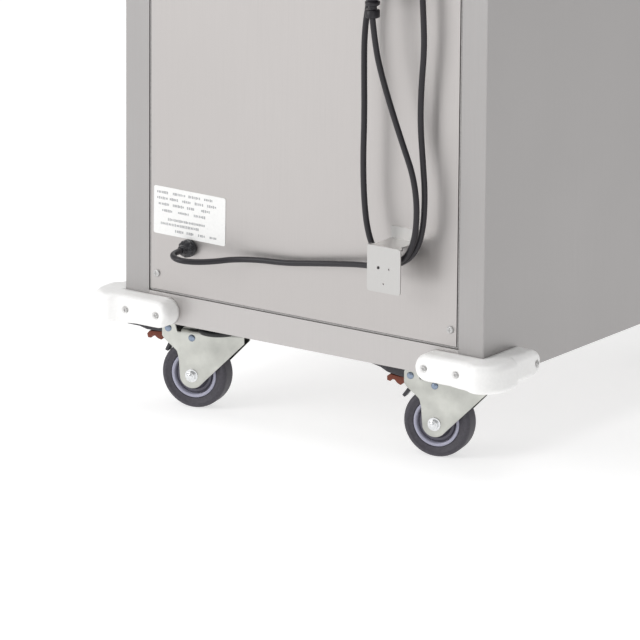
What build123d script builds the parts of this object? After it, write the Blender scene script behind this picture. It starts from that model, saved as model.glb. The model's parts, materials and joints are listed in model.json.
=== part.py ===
"""Mobile insulated food holding cabinet on swivel casters, one solid per real piece.

Frame: +Z up, origin on the floor under the middle of the cabinet. The door is at -Y,
the service rear with its cord hooks is at +Y, and +X is the cabinet's right side.
All lengths are millimetres.
"""
import math
import os

from build123d import *

os.makedirs("parts", exist_ok=True)

# ---------------------------------------------------------------- driving dimensions
WIDTH = 620.0            # over the side panels
REAR_Y = 418.0           # outer face of the rear
FRONT_Y = -380.0         # front face of the carcass, behind the door
RAIL_BOTTOM = 141.0      # lower edge of the base above the floor
RAIL_HEIGHT = 43.5       # height of the rail under the rear cover
BORDER = 42.0            # width of the rear and front flanges, also the wall thickness
TOTAL_HEIGHT = 1680.0
SHEET = 1.5              # stainless sheet

CONTROL_HEIGHT = 150.0   # control compartment above the oven
DOOR_THICKNESS = 50.0
CAVITY_WALL = 40.0       # insulated wall

WHEEL_RADIUS = 50.0
WHEEL_WIDTH = 32.0
TRAIL = 33.0             # axle behind the swivel axis
CASTER_X = 206.0         # swivel axes from the centre plane
CASTER_SET_OUT = 10.0    # how much further out the rear right one is bolted
CASTER_REAR_Y = REAR_Y - 85.0
CASTER_FRONT_Y = FRONT_Y + 78.0
RACE_RADIUS = 26.0       # ball race over each fork
SWIVEL_ANGLE = 13.0      # degrees that the casters stand turned from the X direction
PEDAL_LOCKED = 10.7      # degrees between the released and the pressed pedal

BUMPER_ARM = 96.0        # length along the rear or front rail from the corner
BUMPER_SIDE_ARM = 98.0  # length along the side
BUMPER_PROUD = 33.0      # arms out from the sheet
BUMPER_NOSE = 43.0       # corner out from the sheet
BUMPER_LOW = -2.0        # arm edges above the rail's lower edge
BUMPER_HIGH = 38.0
BUMPER_SCREW_Z = RAIL_BOTTOM + 18.0

HOOK_X = -176.0          # centre of the cord hooks
HOOK_WIDTH = 56.0
HOOK_REACH = 52.0
HOOK_NECK = 22.0         # half width of the shelf behind the plate
HOOK_SHELF_Z = 329.0     # top of the lower hook's shelf
HOOK_TOP_SHELF_Z = 768.0

CORD_DIAMETER = 8.5
GLAND_X = 196.0
GLAND_Z = 258.0

HALF = WIDTH / 2
INNER_TOP = TOTAL_HEIGHT - CONTROL_HEIGHT
COVER_Z0 = RAIL_BOTTOM + RAIL_HEIGHT
COVER_GROOVE = 4.0       # gap between the rear cover and its frame
LIP_FACE = REAR_Y - 3.1  # outer face of the joggled lip that backs the groove
LIP_WIDTH = 16.0


# ---------------------------------------------------------------- small helpers
def block(x0, x1, y0, y1, z0, z1):
    """Box between two corners."""
    size = Box(x1 - x0, y1 - y0, z1 - z0)
    return Pos((x0 + x1) / 2, (y0 + y1) / 2, (z0 + z1) / 2) * size


def rod(radius, start, end):
    """Round bar from start to end along one of the axes or any line."""
    a = Vector(*start)
    b = Vector(*end)
    plane = Plane(origin=a, z_dir=(b - a))
    return extrude(plane * Circle(radius), (b - a).length)


def prism(z0, z1, outline):
    """Upright prism of a plan outline between two heights."""
    return Pos(0, 0, z0) * extrude(make_face(Polyline(*outline, close=True)), z1 - z0)


def group(*solids):
    """Separate solids kept together as one node."""
    return Compound(children=list(solids))


def save(name, shape):
    export_step(shape, "parts/" + name + ".step")


def pan_head(x, y, z, normal, head=5.5, shank=2.0, depth=5.0):
    """Pan head screw whose head sits on a face at (x, y, z) with this outward normal."""
    at = Vector(x, y, z)
    out = Vector(*normal)
    top = at + out * 2.6
    tip = at - out * depth
    plane = Plane(origin=at, z_dir=out)
    dome = extrude(plane * Circle(head), 2.6)
    dome = fillet(dome.edges().group_by(lambda e: (e.center() - at).dot(out))[-1], 1.6)
    slot = Plane(origin=top, z_dir=out) * Box(head * 1.1, 1.1, 1.6)
    cross = Plane(origin=top, z_dir=out) * Box(1.1, head * 1.1, 1.6)
    shank_rod = rod(shank, tuple(at), tuple(tip))
    return dome + shank_rod - slot - cross


# ---------------------------------------------------------------- carcass
def side_panel(side):
    """Outer side sheet with a rear flange, its joggled lip and a front flange folded from it."""
    z0 = RAIL_BOTTOM
    z1 = TOTAL_HEIGHT - SHEET
    outer = block(HALF - BORDER, HALF, FRONT_Y, REAR_Y, z0, z1)
    outer = fillet(outer.edges().filter_by(Axis.Z).group_by(Axis.X)[-1], 2.2)
    inner = block(HALF - BORDER - 1, HALF - SHEET, FRONT_Y + SHEET, REAR_Y - SHEET, z0 - 1, z1 + 1)
    panel = outer - inner
    lip_x = HALF - BORDER
    lip_z = (COVER_Z0 + 1.0, TOTAL_HEIGHT - 44.0)
    panel += block(lip_x, lip_x + SHEET, LIP_FACE - SHEET, REAR_Y - SHEET / 2, *lip_z)
    panel += block(lip_x - LIP_WIDTH, lip_x + SHEET, LIP_FACE - SHEET, LIP_FACE, *lip_z)
    return panel if side > 0 else mirror(panel, about=Plane.YZ)


def top_panel():
    """Lid sheet with a lip folded down inside the side panels at the front and rear."""
    lid = block(-HALF, HALF, FRONT_Y, REAR_Y, TOTAL_HEIGHT - SHEET, TOTAL_HEIGHT)
    lip_x = HALF - BORDER - 0.3
    lip_z = TOTAL_HEIGHT - 40.0
    for y0 in (FRONT_Y, REAR_Y - SHEET):
        lid += block(-lip_x, lip_x, y0, y0 + SHEET, lip_z, TOTAL_HEIGHT - SHEET)
    return lid


def base_pan():
    """Floor sheet whose front and rear edges stand up as the rails, the rear one with a lip."""
    x1 = HALF - BORDER - 0.2
    pan = block(-HALF + SHEET + 0.2, HALF - SHEET - 0.2, FRONT_Y + SHEET + 0.2,
                REAR_Y - SHEET - 0.2, RAIL_BOTTOM, RAIL_BOTTOM + SHEET)
    pan += block(-x1, x1, FRONT_Y, REAR_Y, RAIL_BOTTOM, RAIL_BOTTOM + SHEET)
    for y0 in (FRONT_Y, REAR_Y - SHEET):
        pan += block(-x1, x1, y0, y0 + SHEET, RAIL_BOTTOM, RAIL_BOTTOM + RAIL_HEIGHT)
    lip_x = HALF - BORDER - LIP_WIDTH - 1.0
    pan += block(-lip_x, lip_x, LIP_FACE - SHEET, REAR_Y - SHEET / 2, COVER_Z0 - SHEET, COVER_Z0)
    pan += block(-lip_x, lip_x, LIP_FACE - SHEET, LIP_FACE, COVER_Z0 - SHEET, COVER_Z0 + LIP_WIDTH)
    return pan


def rear_cover():
    """Removable rear cover, a sheet with hemmed edges, in a groove of its frame."""
    x1 = HALF - BORDER - COVER_GROOVE
    z0 = COVER_Z0 + COVER_GROOVE
    z1 = TOTAL_HEIGHT - 40.0 - COVER_GROOVE
    cover = block(-x1, x1, REAR_Y - SHEET, REAR_Y, z0, z1)
    hem = REAR_Y - 3.0
    cover += block(-x1, -x1 + SHEET, hem, REAR_Y, z0, z1)
    cover += block(x1 - SHEET, x1, hem, REAR_Y, z0, z1)
    cover += block(-x1, x1, hem, REAR_Y, z0, z0 + SHEET)
    cover += block(-x1, x1, hem, REAR_Y, z1 - SHEET, z1)
    return cover - rod(8.0, (GLAND_X, REAR_Y - 20, GLAND_Z), (GLAND_X, REAR_Y + 5, GLAND_Z))


CAVITY_X = HALF - BORDER                     # inner face of the liner's side walls
CAVITY_BACK = REAR_Y - CAVITY_WALL
CAVITY_FLOOR = RAIL_BOTTOM + RAIL_HEIGHT + 8.0
CAVITY_TOP = INNER_TOP - CAVITY_WALL + 8.0
LINER_FRONT = FRONT_Y + SHEET + 0.3


def inner_liner():
    """Five welded liner sheets of the heated compartment, open at the front."""
    t = SHEET
    x1 = CAVITY_X
    walls = [
        block(-x1 - t, -x1, LINER_FRONT, CAVITY_BACK, CAVITY_FLOOR - t, CAVITY_TOP + t),
        block(x1, x1 + t, LINER_FRONT, CAVITY_BACK, CAVITY_FLOOR - t, CAVITY_TOP + t),
        block(-x1, x1, LINER_FRONT, CAVITY_BACK, CAVITY_FLOOR - t, CAVITY_FLOOR),
        block(-x1, x1, LINER_FRONT, CAVITY_BACK, CAVITY_TOP, CAVITY_TOP + t),
        block(-x1 - t, x1 + t, CAVITY_BACK, CAVITY_BACK + t, CAVITY_FLOOR - t, CAVITY_TOP + t),
    ]
    hole = rod(9.0, (0, 0, CAVITY_TOP - 1), (0, 0, CAVITY_TOP + 3))
    walls[3] -= hole
    return group(*walls)


def front_frame():
    """Sill and head strips that close the insulated wall around the door opening."""
    x1 = HALF - BORDER - 0.3
    sill = block(-x1, x1, FRONT_Y, FRONT_Y + SHEET, COVER_Z0 + 0.3, CAVITY_FLOOR - SHEET - 0.3)
    head = block(-x1, x1, FRONT_Y, FRONT_Y + SHEET, CAVITY_TOP + SHEET + 0.3, INNER_TOP - 0.5)
    return group(sill, head)


def wall_insulation():
    """Mineral wool slabs packed between the shell and the liner."""
    c = 1.0
    y0 = LINER_FRONT + 6
    y1 = CAVITY_BACK + SHEET + c
    inner = CAVITY_X + SHEET + c
    outer = HALF - SHEET - c
    z0 = RAIL_BOTTOM + SHEET + c
    z1 = INNER_TOP - c
    top = CAVITY_TOP + SHEET + c
    slabs = [
        block(-outer, -inner, y0, y1, z0, z1),
        block(inner, outer, y0, y1, z0, z1),
        block(-inner + 1, inner - 1, y0, y1, z0, CAVITY_FLOOR - SHEET - c),
        block(-inner + 1, inner - 1, y1 + 0.5, REAR_Y - 14, z0, z1),
    ]
    roof = block(-inner + 1, inner - 1, y0, y1, top, z1)
    slabs.append(roof - rod(22.0, (0, 0, top - 1), (0, 0, z1 + 1)))
    return group(*slabs)


# ---------------------------------------------------------------- racks and heating
RACK_LEVELS = 11
RACK_PITCH = 98.0
RACK_FIRST = CAVITY_FLOOR + 140.0
LEDGE_WIDTH = 16.0
UPRIGHT_YS = (-300.0, 0.0, 300.0)
LEDGE_REACH = 345.0      # half length of a ledge


def rack(side):
    """Three upright strips and the tray ledges that they carry, welded into one ladder."""
    wall = side * (CAVITY_X - 1.0)
    inside = side * (CAVITY_X - 5.0)
    lo, hi = sorted((wall, inside))
    top = RACK_FIRST + (RACK_LEVELS - 1) * RACK_PITCH + 30
    uprights = [block(lo, hi, y - 12, y + 12, CAVITY_FLOOR + 2, top) for y in UPRIGHT_YS]
    ledge_in = side * (CAVITY_X - 5.0 - LEDGE_WIDTH)
    l0, l1 = sorted((inside, ledge_in))
    s0, s1 = sorted((inside, side * (CAVITY_X - 6.5)))
    ledges = []
    for level in range(RACK_LEVELS):
        z = RACK_FIRST + level * RACK_PITCH
        shelf = block(l0, l1, -LEDGE_REACH, LEDGE_REACH, z, z + 1.5)
        web = block(s0, s1, -LEDGE_REACH, LEDGE_REACH, z, z + 14)
        ledges.append(shelf + web)
    return group(*uprights, *ledges)


def water_pan():
    """Humidity pan on four legs over the heating element, open at the top."""
    z0 = CAVITY_FLOOR + 46
    pan = block(-220, 220, -230, 230, z0, z0 + 45)
    pan = fillet(pan.edges().filter_by(Axis.Z), 25)
    inner = block(-218.5, 218.5, -228.5, 228.5, z0 + 1.5, z0 + 50)
    pan -= fillet(inner.edges().filter_by(Axis.Z), 23.5)
    rim = block(-230, 230, -240, 240, z0 + 43.5, z0 + 45)
    rim = fillet(rim.edges().filter_by(Axis.Z), 30)
    rim -= fillet(block(-218.5, 218.5, -228.5, 228.5, z0 + 40, z0 + 50).edges().filter_by(Axis.Z), 23.5)
    for x in (-200, 200):
        for y in (-205, 205):
            pan += rod(5, (x, y, CAVITY_FLOOR), (x, y, z0 + 1))
    return pan + rim


def heating_element():
    """Tubular element bent into one flat hairpin, its ends going through the rear wall."""
    z = CAVITY_FLOOR + 22
    route = [(-40, CAVITY_BACK - 2, z), (-40, 200, z), (-150, 200, z), (-150, -200, z),
             (150, -200, z), (150, 200, z), (40, 200, z), (40, CAVITY_BACK - 2, z)]
    path = FilletPolyline(*route, radius=40)
    section = Plane(origin=route[0], z_dir=(0, -1, 0)) * Circle(4.0)
    return sweep(section, path=path)


def fan_motor():
    """Circulation motor in the control compartment, its shaft reaching into the cavity."""
    z0 = INNER_TOP + 6
    can = fillet(rod(42, (0, 0, z0), (0, 0, z0 + 70)).edges(), 5)
    flange = rod(55, (0, 0, z0 - 3), (0, 0, z0 + 1))
    return can + flange - rod(4.06, (0, 0, z0 - 5), (0, 0, z0 + 40))


def fan_rotor():
    """Motor shaft with a flat impeller of bent blades just under the cavity's top."""
    z1 = CAVITY_TOP - 22
    shaft = rod(4.0, (0, 0, z1 - 6), (0, 0, INNER_TOP + 44))
    plate = rod(70, (0, 0, z1), (0, 0, z1 + 1.5))
    wheel = shaft + plate + rod(12, (0, 0, z1 - 5), (0, 0, z1 + 8))
    for k in range(8):
        blade = Pos(52, 0, z1 - 9) * Rot(0, 0, 25) * Box(32, 1.5, 20)
        wheel += Rot(0, 0, 45 * k) * blade
    return wheel


# ---------------------------------------------------------------- control compartment
PANEL_Z0 = INNER_TOP + 4.0
PANEL_Z1 = TOTAL_HEIGHT - 44.0
PANEL_Y = FRONT_Y - 12.0
KNOB = (150.0, PANEL_Z0 + 48.0)
SWITCH = (-40.0, PANEL_Z0 + 48.0)
DIAL = (-170.0, PANEL_Z0 + 50.0)
LAMPS = ((40.0, PANEL_Z0 + 62.0), (40.0, PANEL_Z0 + 32.0))


def control_fascia():
    """Folded fascia box over the door with the cut-outs of its controls."""
    x1 = HALF - 4
    box = block(-x1, x1, PANEL_Y, FRONT_Y - 0.2, PANEL_Z0, PANEL_Z1)
    box = fillet(box.edges().filter_by(Axis.Z).group_by(Axis.Y)[0], 3)
    box -= block(-x1 + SHEET, x1 - SHEET, PANEL_Y + SHEET, FRONT_Y + 1, PANEL_Z0 + SHEET, PANEL_Z1 - SHEET)
    y0, y1 = PANEL_Y - 5, PANEL_Y + 5
    box -= rod(5.0, (KNOB[0], y0, KNOB[1]), (KNOB[0], y1, KNOB[1]))
    box -= block(SWITCH[0] - 14.2, SWITCH[0] + 14.2, y0, y1, SWITCH[1] - 11.2, SWITCH[1] + 11.2)
    box -= rod(26.2, (DIAL[0], y0, DIAL[1]), (DIAL[0], y1, DIAL[1]))
    for x, z in LAMPS:
        box -= rod(6.2, (x, y0, z), (x, y1, z))
    return box


def thermostat():
    """Thermostat body behind the fascia."""
    x, z = KNOB
    body = block(x - 20, x + 20, PANEL_Y + 1.8, FRONT_Y - 0.5, z - 16, z + 16)
    return body - rod(3.06, (x, PANEL_Y, z), (x, PANEL_Y + 8.5, z))


def thermostat_knob():
    """Grip knob with a raised pointer on the thermostat's shaft."""
    x, z = KNOB
    skirt = rod(22, (x, PANEL_Y - 4.5, z), (x, PANEL_Y - 0.5, z))
    grip = rod(15, (x, PANEL_Y - 22, z), (x, PANEL_Y - 4, z))
    grip = fillet(grip.edges().group_by(Axis.Y)[0], 2)
    bar = block(x - 3, x + 3, PANEL_Y - 24, PANEL_Y - 4, z - 17, z + 19)
    stem = rod(4.0, (x, PANEL_Y - 4, z), (x, PANEL_Y + 1.2, z))
    spindle = rod(3.0, (x, PANEL_Y + 1, z), (x, PANEL_Y + 8, z))
    return skirt + grip + bar + stem + spindle


def switch_frame():
    """Snap-in bezel of the power switch."""
    x, z = SWITCH
    frame = block(x - 17, x + 17, PANEL_Y - 2, PANEL_Y - 0.1, z - 14, z + 14)
    frame += block(x - 14, x + 14, PANEL_Y - 0.1, PANEL_Y + 8, z - 11, z + 11)
    frame -= block(x - 12, x + 12, PANEL_Y - 3, PANEL_Y + 6, z - 9.9, z + 9.9)
    return frame - rod(1.26, (x - 13.2, PANEL_Y + 1.5, z), (x + 13.2, PANEL_Y + 1.5, z))


def rocker():
    """Two-position rocker of the power switch, pivoting about a line along X."""
    x, z = SWITCH
    profile = Polyline((PANEL_Y - 1.0, z - 7.6), (PANEL_Y - 5.0, z - 8.0), (PANEL_Y - 3.2, z),
                       (PANEL_Y - 1.2, z + 7.4), (PANEL_Y + 3.0, z + 6.0), (PANEL_Y + 3.0, z - 6.0),
                       close=True)
    face = make_face(profile)
    body = extrude(Plane(origin=(x - 11, 0, 0), x_dir=(0, 1, 0), z_dir=(1, 0, 0)) * face, 22)
    return body + rod(1.2, (x - 13, PANEL_Y + 1.5, z), (x + 13, PANEL_Y + 1.5, z))


def indicator_lamps():
    """Two indicator lamps, each a barrel with a domed lens."""
    lamps = []
    for x, z in LAMPS:
        lens = rod(8.5, (x, PANEL_Y - 6, z), (x, PANEL_Y - 0.1, z))
        lens = fillet(lens.edges().group_by(Axis.Y)[0], 4)
        lamps.append(lens + rod(6.0, (x, PANEL_Y - 0.1, z), (x, PANEL_Y + 9, z)))
    return group(*lamps)


def thermometer_case():
    """Dial thermometer housing, a cup with a bright bezel."""
    x, z = DIAL
    cup = rod(26, (x, PANEL_Y - 0.1, z), (x, PANEL_Y + 9, z))
    cup += rod(31, (x, PANEL_Y - 5, z), (x, PANEL_Y - 0.1, z))
    cup -= rod(25, (x, PANEL_Y - 6, z), (x, PANEL_Y - 1.0, z))
    return cup - rod(1.06, (x, PANEL_Y - 2, z), (x, PANEL_Y + 5, z))


def thermometer_needle():
    """Pointer of the thermometer on its own small arbor."""
    x, z = DIAL
    hub = rod(3.0, (x, PANEL_Y - 4.0, z), (x, PANEL_Y - 1.5, z))
    hub += rod(1.0, (x, PANEL_Y - 2, z), (x, PANEL_Y + 4, z))
    blade = block(x - 1.0, x + 1.0, PANEL_Y - 3.2, PANEL_Y - 2.2, z - 7, z + 20)
    return Pos(x, 0, z) * Rot(0, -40, 0) * Pos(-x, 0, -z) * (hub + blade)


# ---------------------------------------------------------------- door
DOOR_X = HALF - 3.0
DOOR_Z0 = COVER_Z0 + 1.5
DOOR_Z1 = INNER_TOP - 1.5
DOOR_BACK = FRONT_Y - 6.0
DOOR_FACE = DOOR_BACK - DOOR_THICKNESS
HINGE_X = HALF + 9.0
HINGE_Y = DOOR_FACE + 6.0
HINGE_ZS = (DOOR_Z0 + 130.0, DOOR_Z1 - 130.0)


def door_skin():
    """Outer door pan, a sheet with four folded edges."""
    pan = block(-DOOR_X, DOOR_X, DOOR_FACE, DOOR_BACK - 3, DOOR_Z0, DOOR_Z1)
    pan = fillet(pan.edges().group_by(Axis.Y)[0], 2.5)
    return pan - block(-DOOR_X + SHEET, DOOR_X - SHEET, DOOR_FACE + SHEET, DOOR_BACK,
                       DOOR_Z0 + SHEET, DOOR_Z1 - SHEET)


def door_insulation():
    """Foam slab between the door's two skins."""
    c = 2.5
    return block(-DOOR_X + c, DOOR_X - c, DOOR_FACE + c, DOOR_BACK - 4, DOOR_Z0 + c, DOOR_Z1 - c)


def door_liner():
    """Inner door sheet that closes the pan."""
    return block(-DOOR_X, DOOR_X, DOOR_BACK - 2.8, DOOR_BACK - 1.3, DOOR_Z0, DOOR_Z1)


def door_gasket():
    """Magnetic hollow gasket run around the door's inner face."""
    outer = block(-DOOR_X + 6, DOOR_X - 6, DOOR_BACK - 1.3, FRONT_Y - 0.5, DOOR_Z0 + 6, DOOR_Z1 - 6)
    outer = fillet(outer.edges().filter_by(Axis.Y), 8)
    inner = block(-DOOR_X + 24, DOOR_X - 24, DOOR_BACK - 5, FRONT_Y, DOOR_Z0 + 24, DOOR_Z1 - 24)
    return outer - inner


def hinge_fixed_leaves():
    """Lift-off hinge halves screwed to the side, each with its riveted pin."""
    leaves = []
    for z in HINGE_ZS:
        plate = block(HALF + 0.2, HALF + 3.2, FRONT_Y - 2, FRONT_Y + 46, z - 32, z + 32)
        arm = block(HALF + 0.2, HALF + 3.2, HINGE_Y, FRONT_Y, z - 32, z - 1)
        knuckle = rod(7.0, (HINGE_X, HINGE_Y, z - 32), (HINGE_X, HINGE_Y, z - 0.4))
        web = block(HALF + 0.2, HINGE_X, HINGE_Y - 3, HINGE_Y + 3, z - 32, z - 0.4)
        pin = rod(3.5, (HINGE_X, HINGE_Y, z - 20), (HINGE_X, HINGE_Y, z + 26))
        leaves.append(plate + arm + knuckle + web + pin)
    return group(*leaves)


def hinge_door_leaves():
    """Lift-off hinge halves on the door, whose knuckles turn on the pins."""
    leaves = []
    for z in HINGE_ZS:
        knuckle = rod(7.0, (HINGE_X, HINGE_Y, z + 0.4), (HINGE_X, HINGE_Y, z + 32))
        front = block(HALF - 60, HINGE_X, DOOR_FACE - 3.2, DOOR_FACE - 0.2, z + 0.4, z + 32)
        cheek = block(HINGE_X - 7, HINGE_X, DOOR_FACE - 3.2, HINGE_Y, z + 0.4, z + 32)
        bore = rod(3.56, (HINGE_X, HINGE_Y, z - 1), (HINGE_X, HINGE_Y, z + 28))
        leaves.append(knuckle + front + cheek - bore)
    return group(*leaves)


HANDLE_X = -HALF + 50.0
HANDLE_Z = 900.0
HANDLE_REACH = REAR_Y + HOOK_REACH + DOOR_FACE - 0.2      # level with the cord hooks, rear to front


def door_handle():
    """Cast pull handle, a bowed bar on two feet."""
    y0 = DOOR_FACE - 0.2
    grip_y = y0 - HANDLE_REACH + 9
    bar = rod(9.0, (HANDLE_X, grip_y, HANDLE_Z - 92), (HANDLE_X, grip_y, HANDLE_Z + 92))
    for end in (-1, 1):
        z = HANDLE_Z + end * 80
        bar += rod(8.0, (HANDLE_X, grip_y, z), (HANDLE_X, y0, z))
        bar += block(HANDLE_X - 14, HANDLE_X + 14, y0 - 5, y0, z - 20, z + 20)
    return bar


def push_handles():
    """Bent tube push handle on each side panel."""
    handles = []
    for side in (-1, 1):
        x0 = side * (HALF + 0.2)
        x1 = side * (HALF + 30)
        z = 1120.0
        route = [(x0, 60, z), (x1, 60, z), (x1, 280, z), (x0, 280, z)]
        path = FilletPolyline(*route, radius=20)
        section = Plane(origin=route[0], z_dir=(side, 0, 0)) * Circle(7.0)
        bar = sweep(section, path=path)
        for y in (60, 280):
            bar += rod(16, (x0, y, z), (side * (HALF + 3.2), y, z))
        handles.append(bar)
    return group(*handles)


# ---------------------------------------------------------------- rear fittings
def cable_gland():
    """Round strain relief bushing through the rear cover."""
    y = REAR_Y
    body = rod(7.6, (GLAND_X, y - 12, GLAND_Z), (GLAND_X, y + 2, GLAND_Z))
    body += rod(11.5, (GLAND_X, y + 0.1, GLAND_Z), (GLAND_X, y + 10, GLAND_Z))
    neck = Cone(bottom_radius=10.0, top_radius=6.6, height=12.0)
    neck = Plane(origin=(GLAND_X, y + 16, GLAND_Z), z_dir=(0, 1, 0)) * neck
    return body + neck - rod(CORD_DIAMETER / 2, (GLAND_X, y + 20, GLAND_Z), (GLAND_X, y + 30, GLAND_Z))


def cord_hook(shelf_z, turned):
    """Bent sheet hook: tab spot welded to the cover, shelf and a plate turned up or down."""
    t = 2.0
    tab = 17.0
    half = HOOK_WIDTH / 2
    y0 = REAR_Y + 0.1
    y1 = REAR_Y + HOOK_REACH
    plate_z = sorted((shelf_z - t * (turned > 0), shelf_z + turned * 66))
    tab_z = sorted((shelf_z - t * (turned < 0), shelf_z - turned * tab))
    plate = block(-half, half, y1 - t, y1, *plate_z)
    plate = fillet(plate.edges().filter_by(Axis.Y), 4.0)
    shelf = prism(shelf_z - t, shelf_z, [
        (-HOOK_NECK, y0), (HOOK_NECK, y0), (HOOK_NECK, y1 - 10), (half, y1 - 7), (half, y1 - t / 2),
        (-half, y1 - t / 2), (-half, y1 - 7), (-HOOK_NECK, y1 - 10)])
    shelf += block(-half, half, y1 - t, y1, *sorted((shelf_z - t, shelf_z + turned * 6)))
    hook = plate + shelf + block(-HOOK_NECK, HOOK_NECK, y0, y0 + t, *tab_z)
    middle = shelf_z + turned * 31
    for dx, dz, radius in ((9.0, 0.0, 2.4), (-9.0, 0.0, 1.5), (0.0, turned * 22.0, 1.5)):
        hook -= rod(radius, (dx, y1 - 5, middle + dz), (dx, y1 + 5, middle + dz))
    return Pos(HOOK_X, 0, 0) * hook


def rating_plate():
    """Blank rating label stuck to the rear cover, a hair out of level."""
    plate = Box(126, 0.6, 70)
    plate = fillet(plate.edges().filter_by(Axis.Y), 3)
    return Pos(196, REAR_Y + 0.4, 305.5) * Rot(0, -0.6, 0) * plate


def bumper(sx, sy):
    """Moulded corner bumper: two arms along the rails and a fuller nose at the corner."""
    x, y = HALF, REAR_Y
    z0 = RAIL_BOTTOM + BUMPER_LOW
    z1 = RAIL_BOTTOM + BUMPER_HIGH
    rear_arm = block(x - BUMPER_ARM, x, y + 0.2, y + BUMPER_PROUD, z0, z1)
    rear_arm = fillet(rear_arm.edges().filter_by(Axis.Y).group_by(Axis.X)[0], 18)
    side_arm = block(x + 0.2, x + BUMPER_PROUD, y - BUMPER_SIDE_ARM, y, z0, z1)
    side_arm = fillet(side_arm.edges().filter_by(Axis.X).group_by(Axis.Y)[0], 18)
    radius = 50.0
    centre = (x + BUMPER_NOSE - radius, y + BUMPER_NOSE - radius)
    nose = rod(radius, (*centre, z0 - 4), (*centre, z1 - 1))
    nose = fillet(nose.edges(), 14)
    body = rear_arm + side_arm + nose
    body -= block(x - 200, x + 0.2, y - 200, y + 0.2, z0 - 10, z1 + 10)
    if sx < 0:
        body = mirror(body, about=Plane.YZ)
    if sy < 0:
        body = mirror(body, about=Plane.XZ)
        body = Pos(0, FRONT_Y + REAR_Y, 0) * body
    return body


# ---------------------------------------------------------------- cord
CORD_ROUTE = [            # x, stand-off from the rear cover, height above the floor
    (196, 22, 258), (196, 36, 258), (190, 50, 257), (174, 57, 255), (154, 50, 254),
    (131, 34, 255), (104, 20, 260), (64, 13, 264), (20, 12, 266), (-30, 13, 274),
    (-76, 15, 281), (-112, 20, 287), (-146, 24, 290), (-180, 25, 297), (-208, 25, 316),
    (-222, 24, 349), (-224, 22, 402), (-218, 20, 452), (-213, 20, 505), (-215, 21, 560),
    (-220, 22, 612), (-218, 23, 664), (-215, 24, 716), (-212, 25, 754), (-202, 26, 782),
    (-176, 26, 794), (-150, 25, 781), (-141, 23, 752), (-134, 20, 712), (-125, 20, 668),
    (-119, 22, 620), (-122, 26, 565), (-126, 30, 505), (-125, 31, 438), (-127, 30, 380),
    (-134, 31, 340), (-148, 33, 313), (-173, 36, 302), (-202, 37, 311), (-217, 36, 340),
    (-220, 35, 386), (-213, 35, 432), (-195, 36, 475), (-178, 38, 520), (-163, 41, 566),
    (-153, 44, 608), (-149, 46, 650),
]


def corner_radii(points):
    """Arc at each corner: 0.45 of the shorter run over the tangent of half the turn."""
    radii = []
    for a, b, c in zip(points, points[1:], points[2:]):
        into, out = b - a, c - b
        half_turn = math.radians(into.get_angle(out)) / 2
        radii.append(0.45 * min(into.length, out.length) / math.tan(half_turn))
    return radii


def power_cord():
    """Flexible supply cord wound on the two hooks, straight runs joined by tangent arcs."""
    points = [Vector(x, REAR_Y + off, z) for x, off, z in CORD_ROUTE]
    radii = corner_radii(points)
    print("cord radii:", [round(r) for r in radii], "smallest", round(min(radii), 1))
    path = FilletPolyline(*points, radius=radii)
    section = Plane(origin=points[0], z_dir=points[1] - points[0]) * Circle(CORD_DIAMETER / 2)
    cord = sweep(section, path=path)
    ideal = math.pi * (CORD_DIAMETER / 2) ** 2 * path.length
    print("cord length", round(path.length, 1), "volume ratio", round(cord.volume / ideal, 4))
    return cord


def plug():
    """Moulded plug held pins-up beside the upper hook, with a ribbed tail."""
    x, off, z = CORD_ROUTE[-1]
    y = REAR_Y + off
    tail = rod(6.0, (x, y, z), (x, y, z + 30))
    for z0, z1 in ((0.0, 11.5), (17.5, 23.5)):
        tail += rod(10.5, (x, y, z + z0), (x, y, z + z1))
    body = block(x - 16, x + 16, y - 11, y + 11, z + 30, z + 66)
    body = fillet(body.edges(), 5)
    shape = tail + body
    for dx in (-8, 8):
        shape += block(x + dx - 3, x + dx + 3, y - 1, y + 1, z + 64, z + 82)
    return shape


def tie_strap():
    """Hook-and-loop strap that ties the plug to the cord beside it."""
    x, off, z = CORD_ROUTE[-1]
    y = REAR_Y + off
    z0, z1 = z + 42, z + 56
    ring = block(x - 19, x + 27, y - 36, y + 14, z0, z1)
    ring = fillet(ring.edges().filter_by(Axis.Z), 10)
    hole = block(x - 17, x + 25, y - 34, y + 12, z0 - 1, z1 + 1)
    return ring - fillet(hole.edges().filter_by(Axis.Z), 8)


# ---------------------------------------------------------------- casters
PLATE_TOP = RAIL_BOTTOM - 8.0
PLATE_THICK = 4.0
BEARER_REACH = 272.0
CROWN_TOP = 113.0
CROWN_THICK = 3.0
LEG_GAP = 39.0
LEG_THICK = 2.5
PLATE_HOLES = [(dx, dy) for dx in (-42, 42) for dy in (-32, 32)]
PEDAL_PIVOT = (70.0, 117.0)      # along the trail and above the floor
CASTERS = {
    "rear_left": (CASTER_X, CASTER_REAR_Y, SWIVEL_ANGLE, True, PEDAL_LOCKED),
    "rear_right": (-CASTER_X - CASTER_SET_OUT, CASTER_REAR_Y - 2.5, SWIVEL_ANGLE, True, 0.0),
    "front_left": (CASTER_X, CASTER_FRONT_Y, SWIVEL_ANGLE, False, 0.0),
    "front_right": (-CASTER_X, CASTER_FRONT_Y, SWIVEL_ANGLE, False, 0.0),
}


def caster_bearers():
    """Two shallow channels across the base that carry the caster plates."""
    bearers = []
    for y in (CASTER_FRONT_Y, CASTER_REAR_Y):
        channel = block(-BEARER_REACH, BEARER_REACH, y - 48, y + 48, PLATE_TOP, RAIL_BOTTOM - 0.1)
        channel -= block(-300, 300, y - 45.5, y + 45.5, PLATE_TOP + 2.5, RAIL_BOTTOM)
        bearers.append(channel)
    return group(*bearers)


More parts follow.
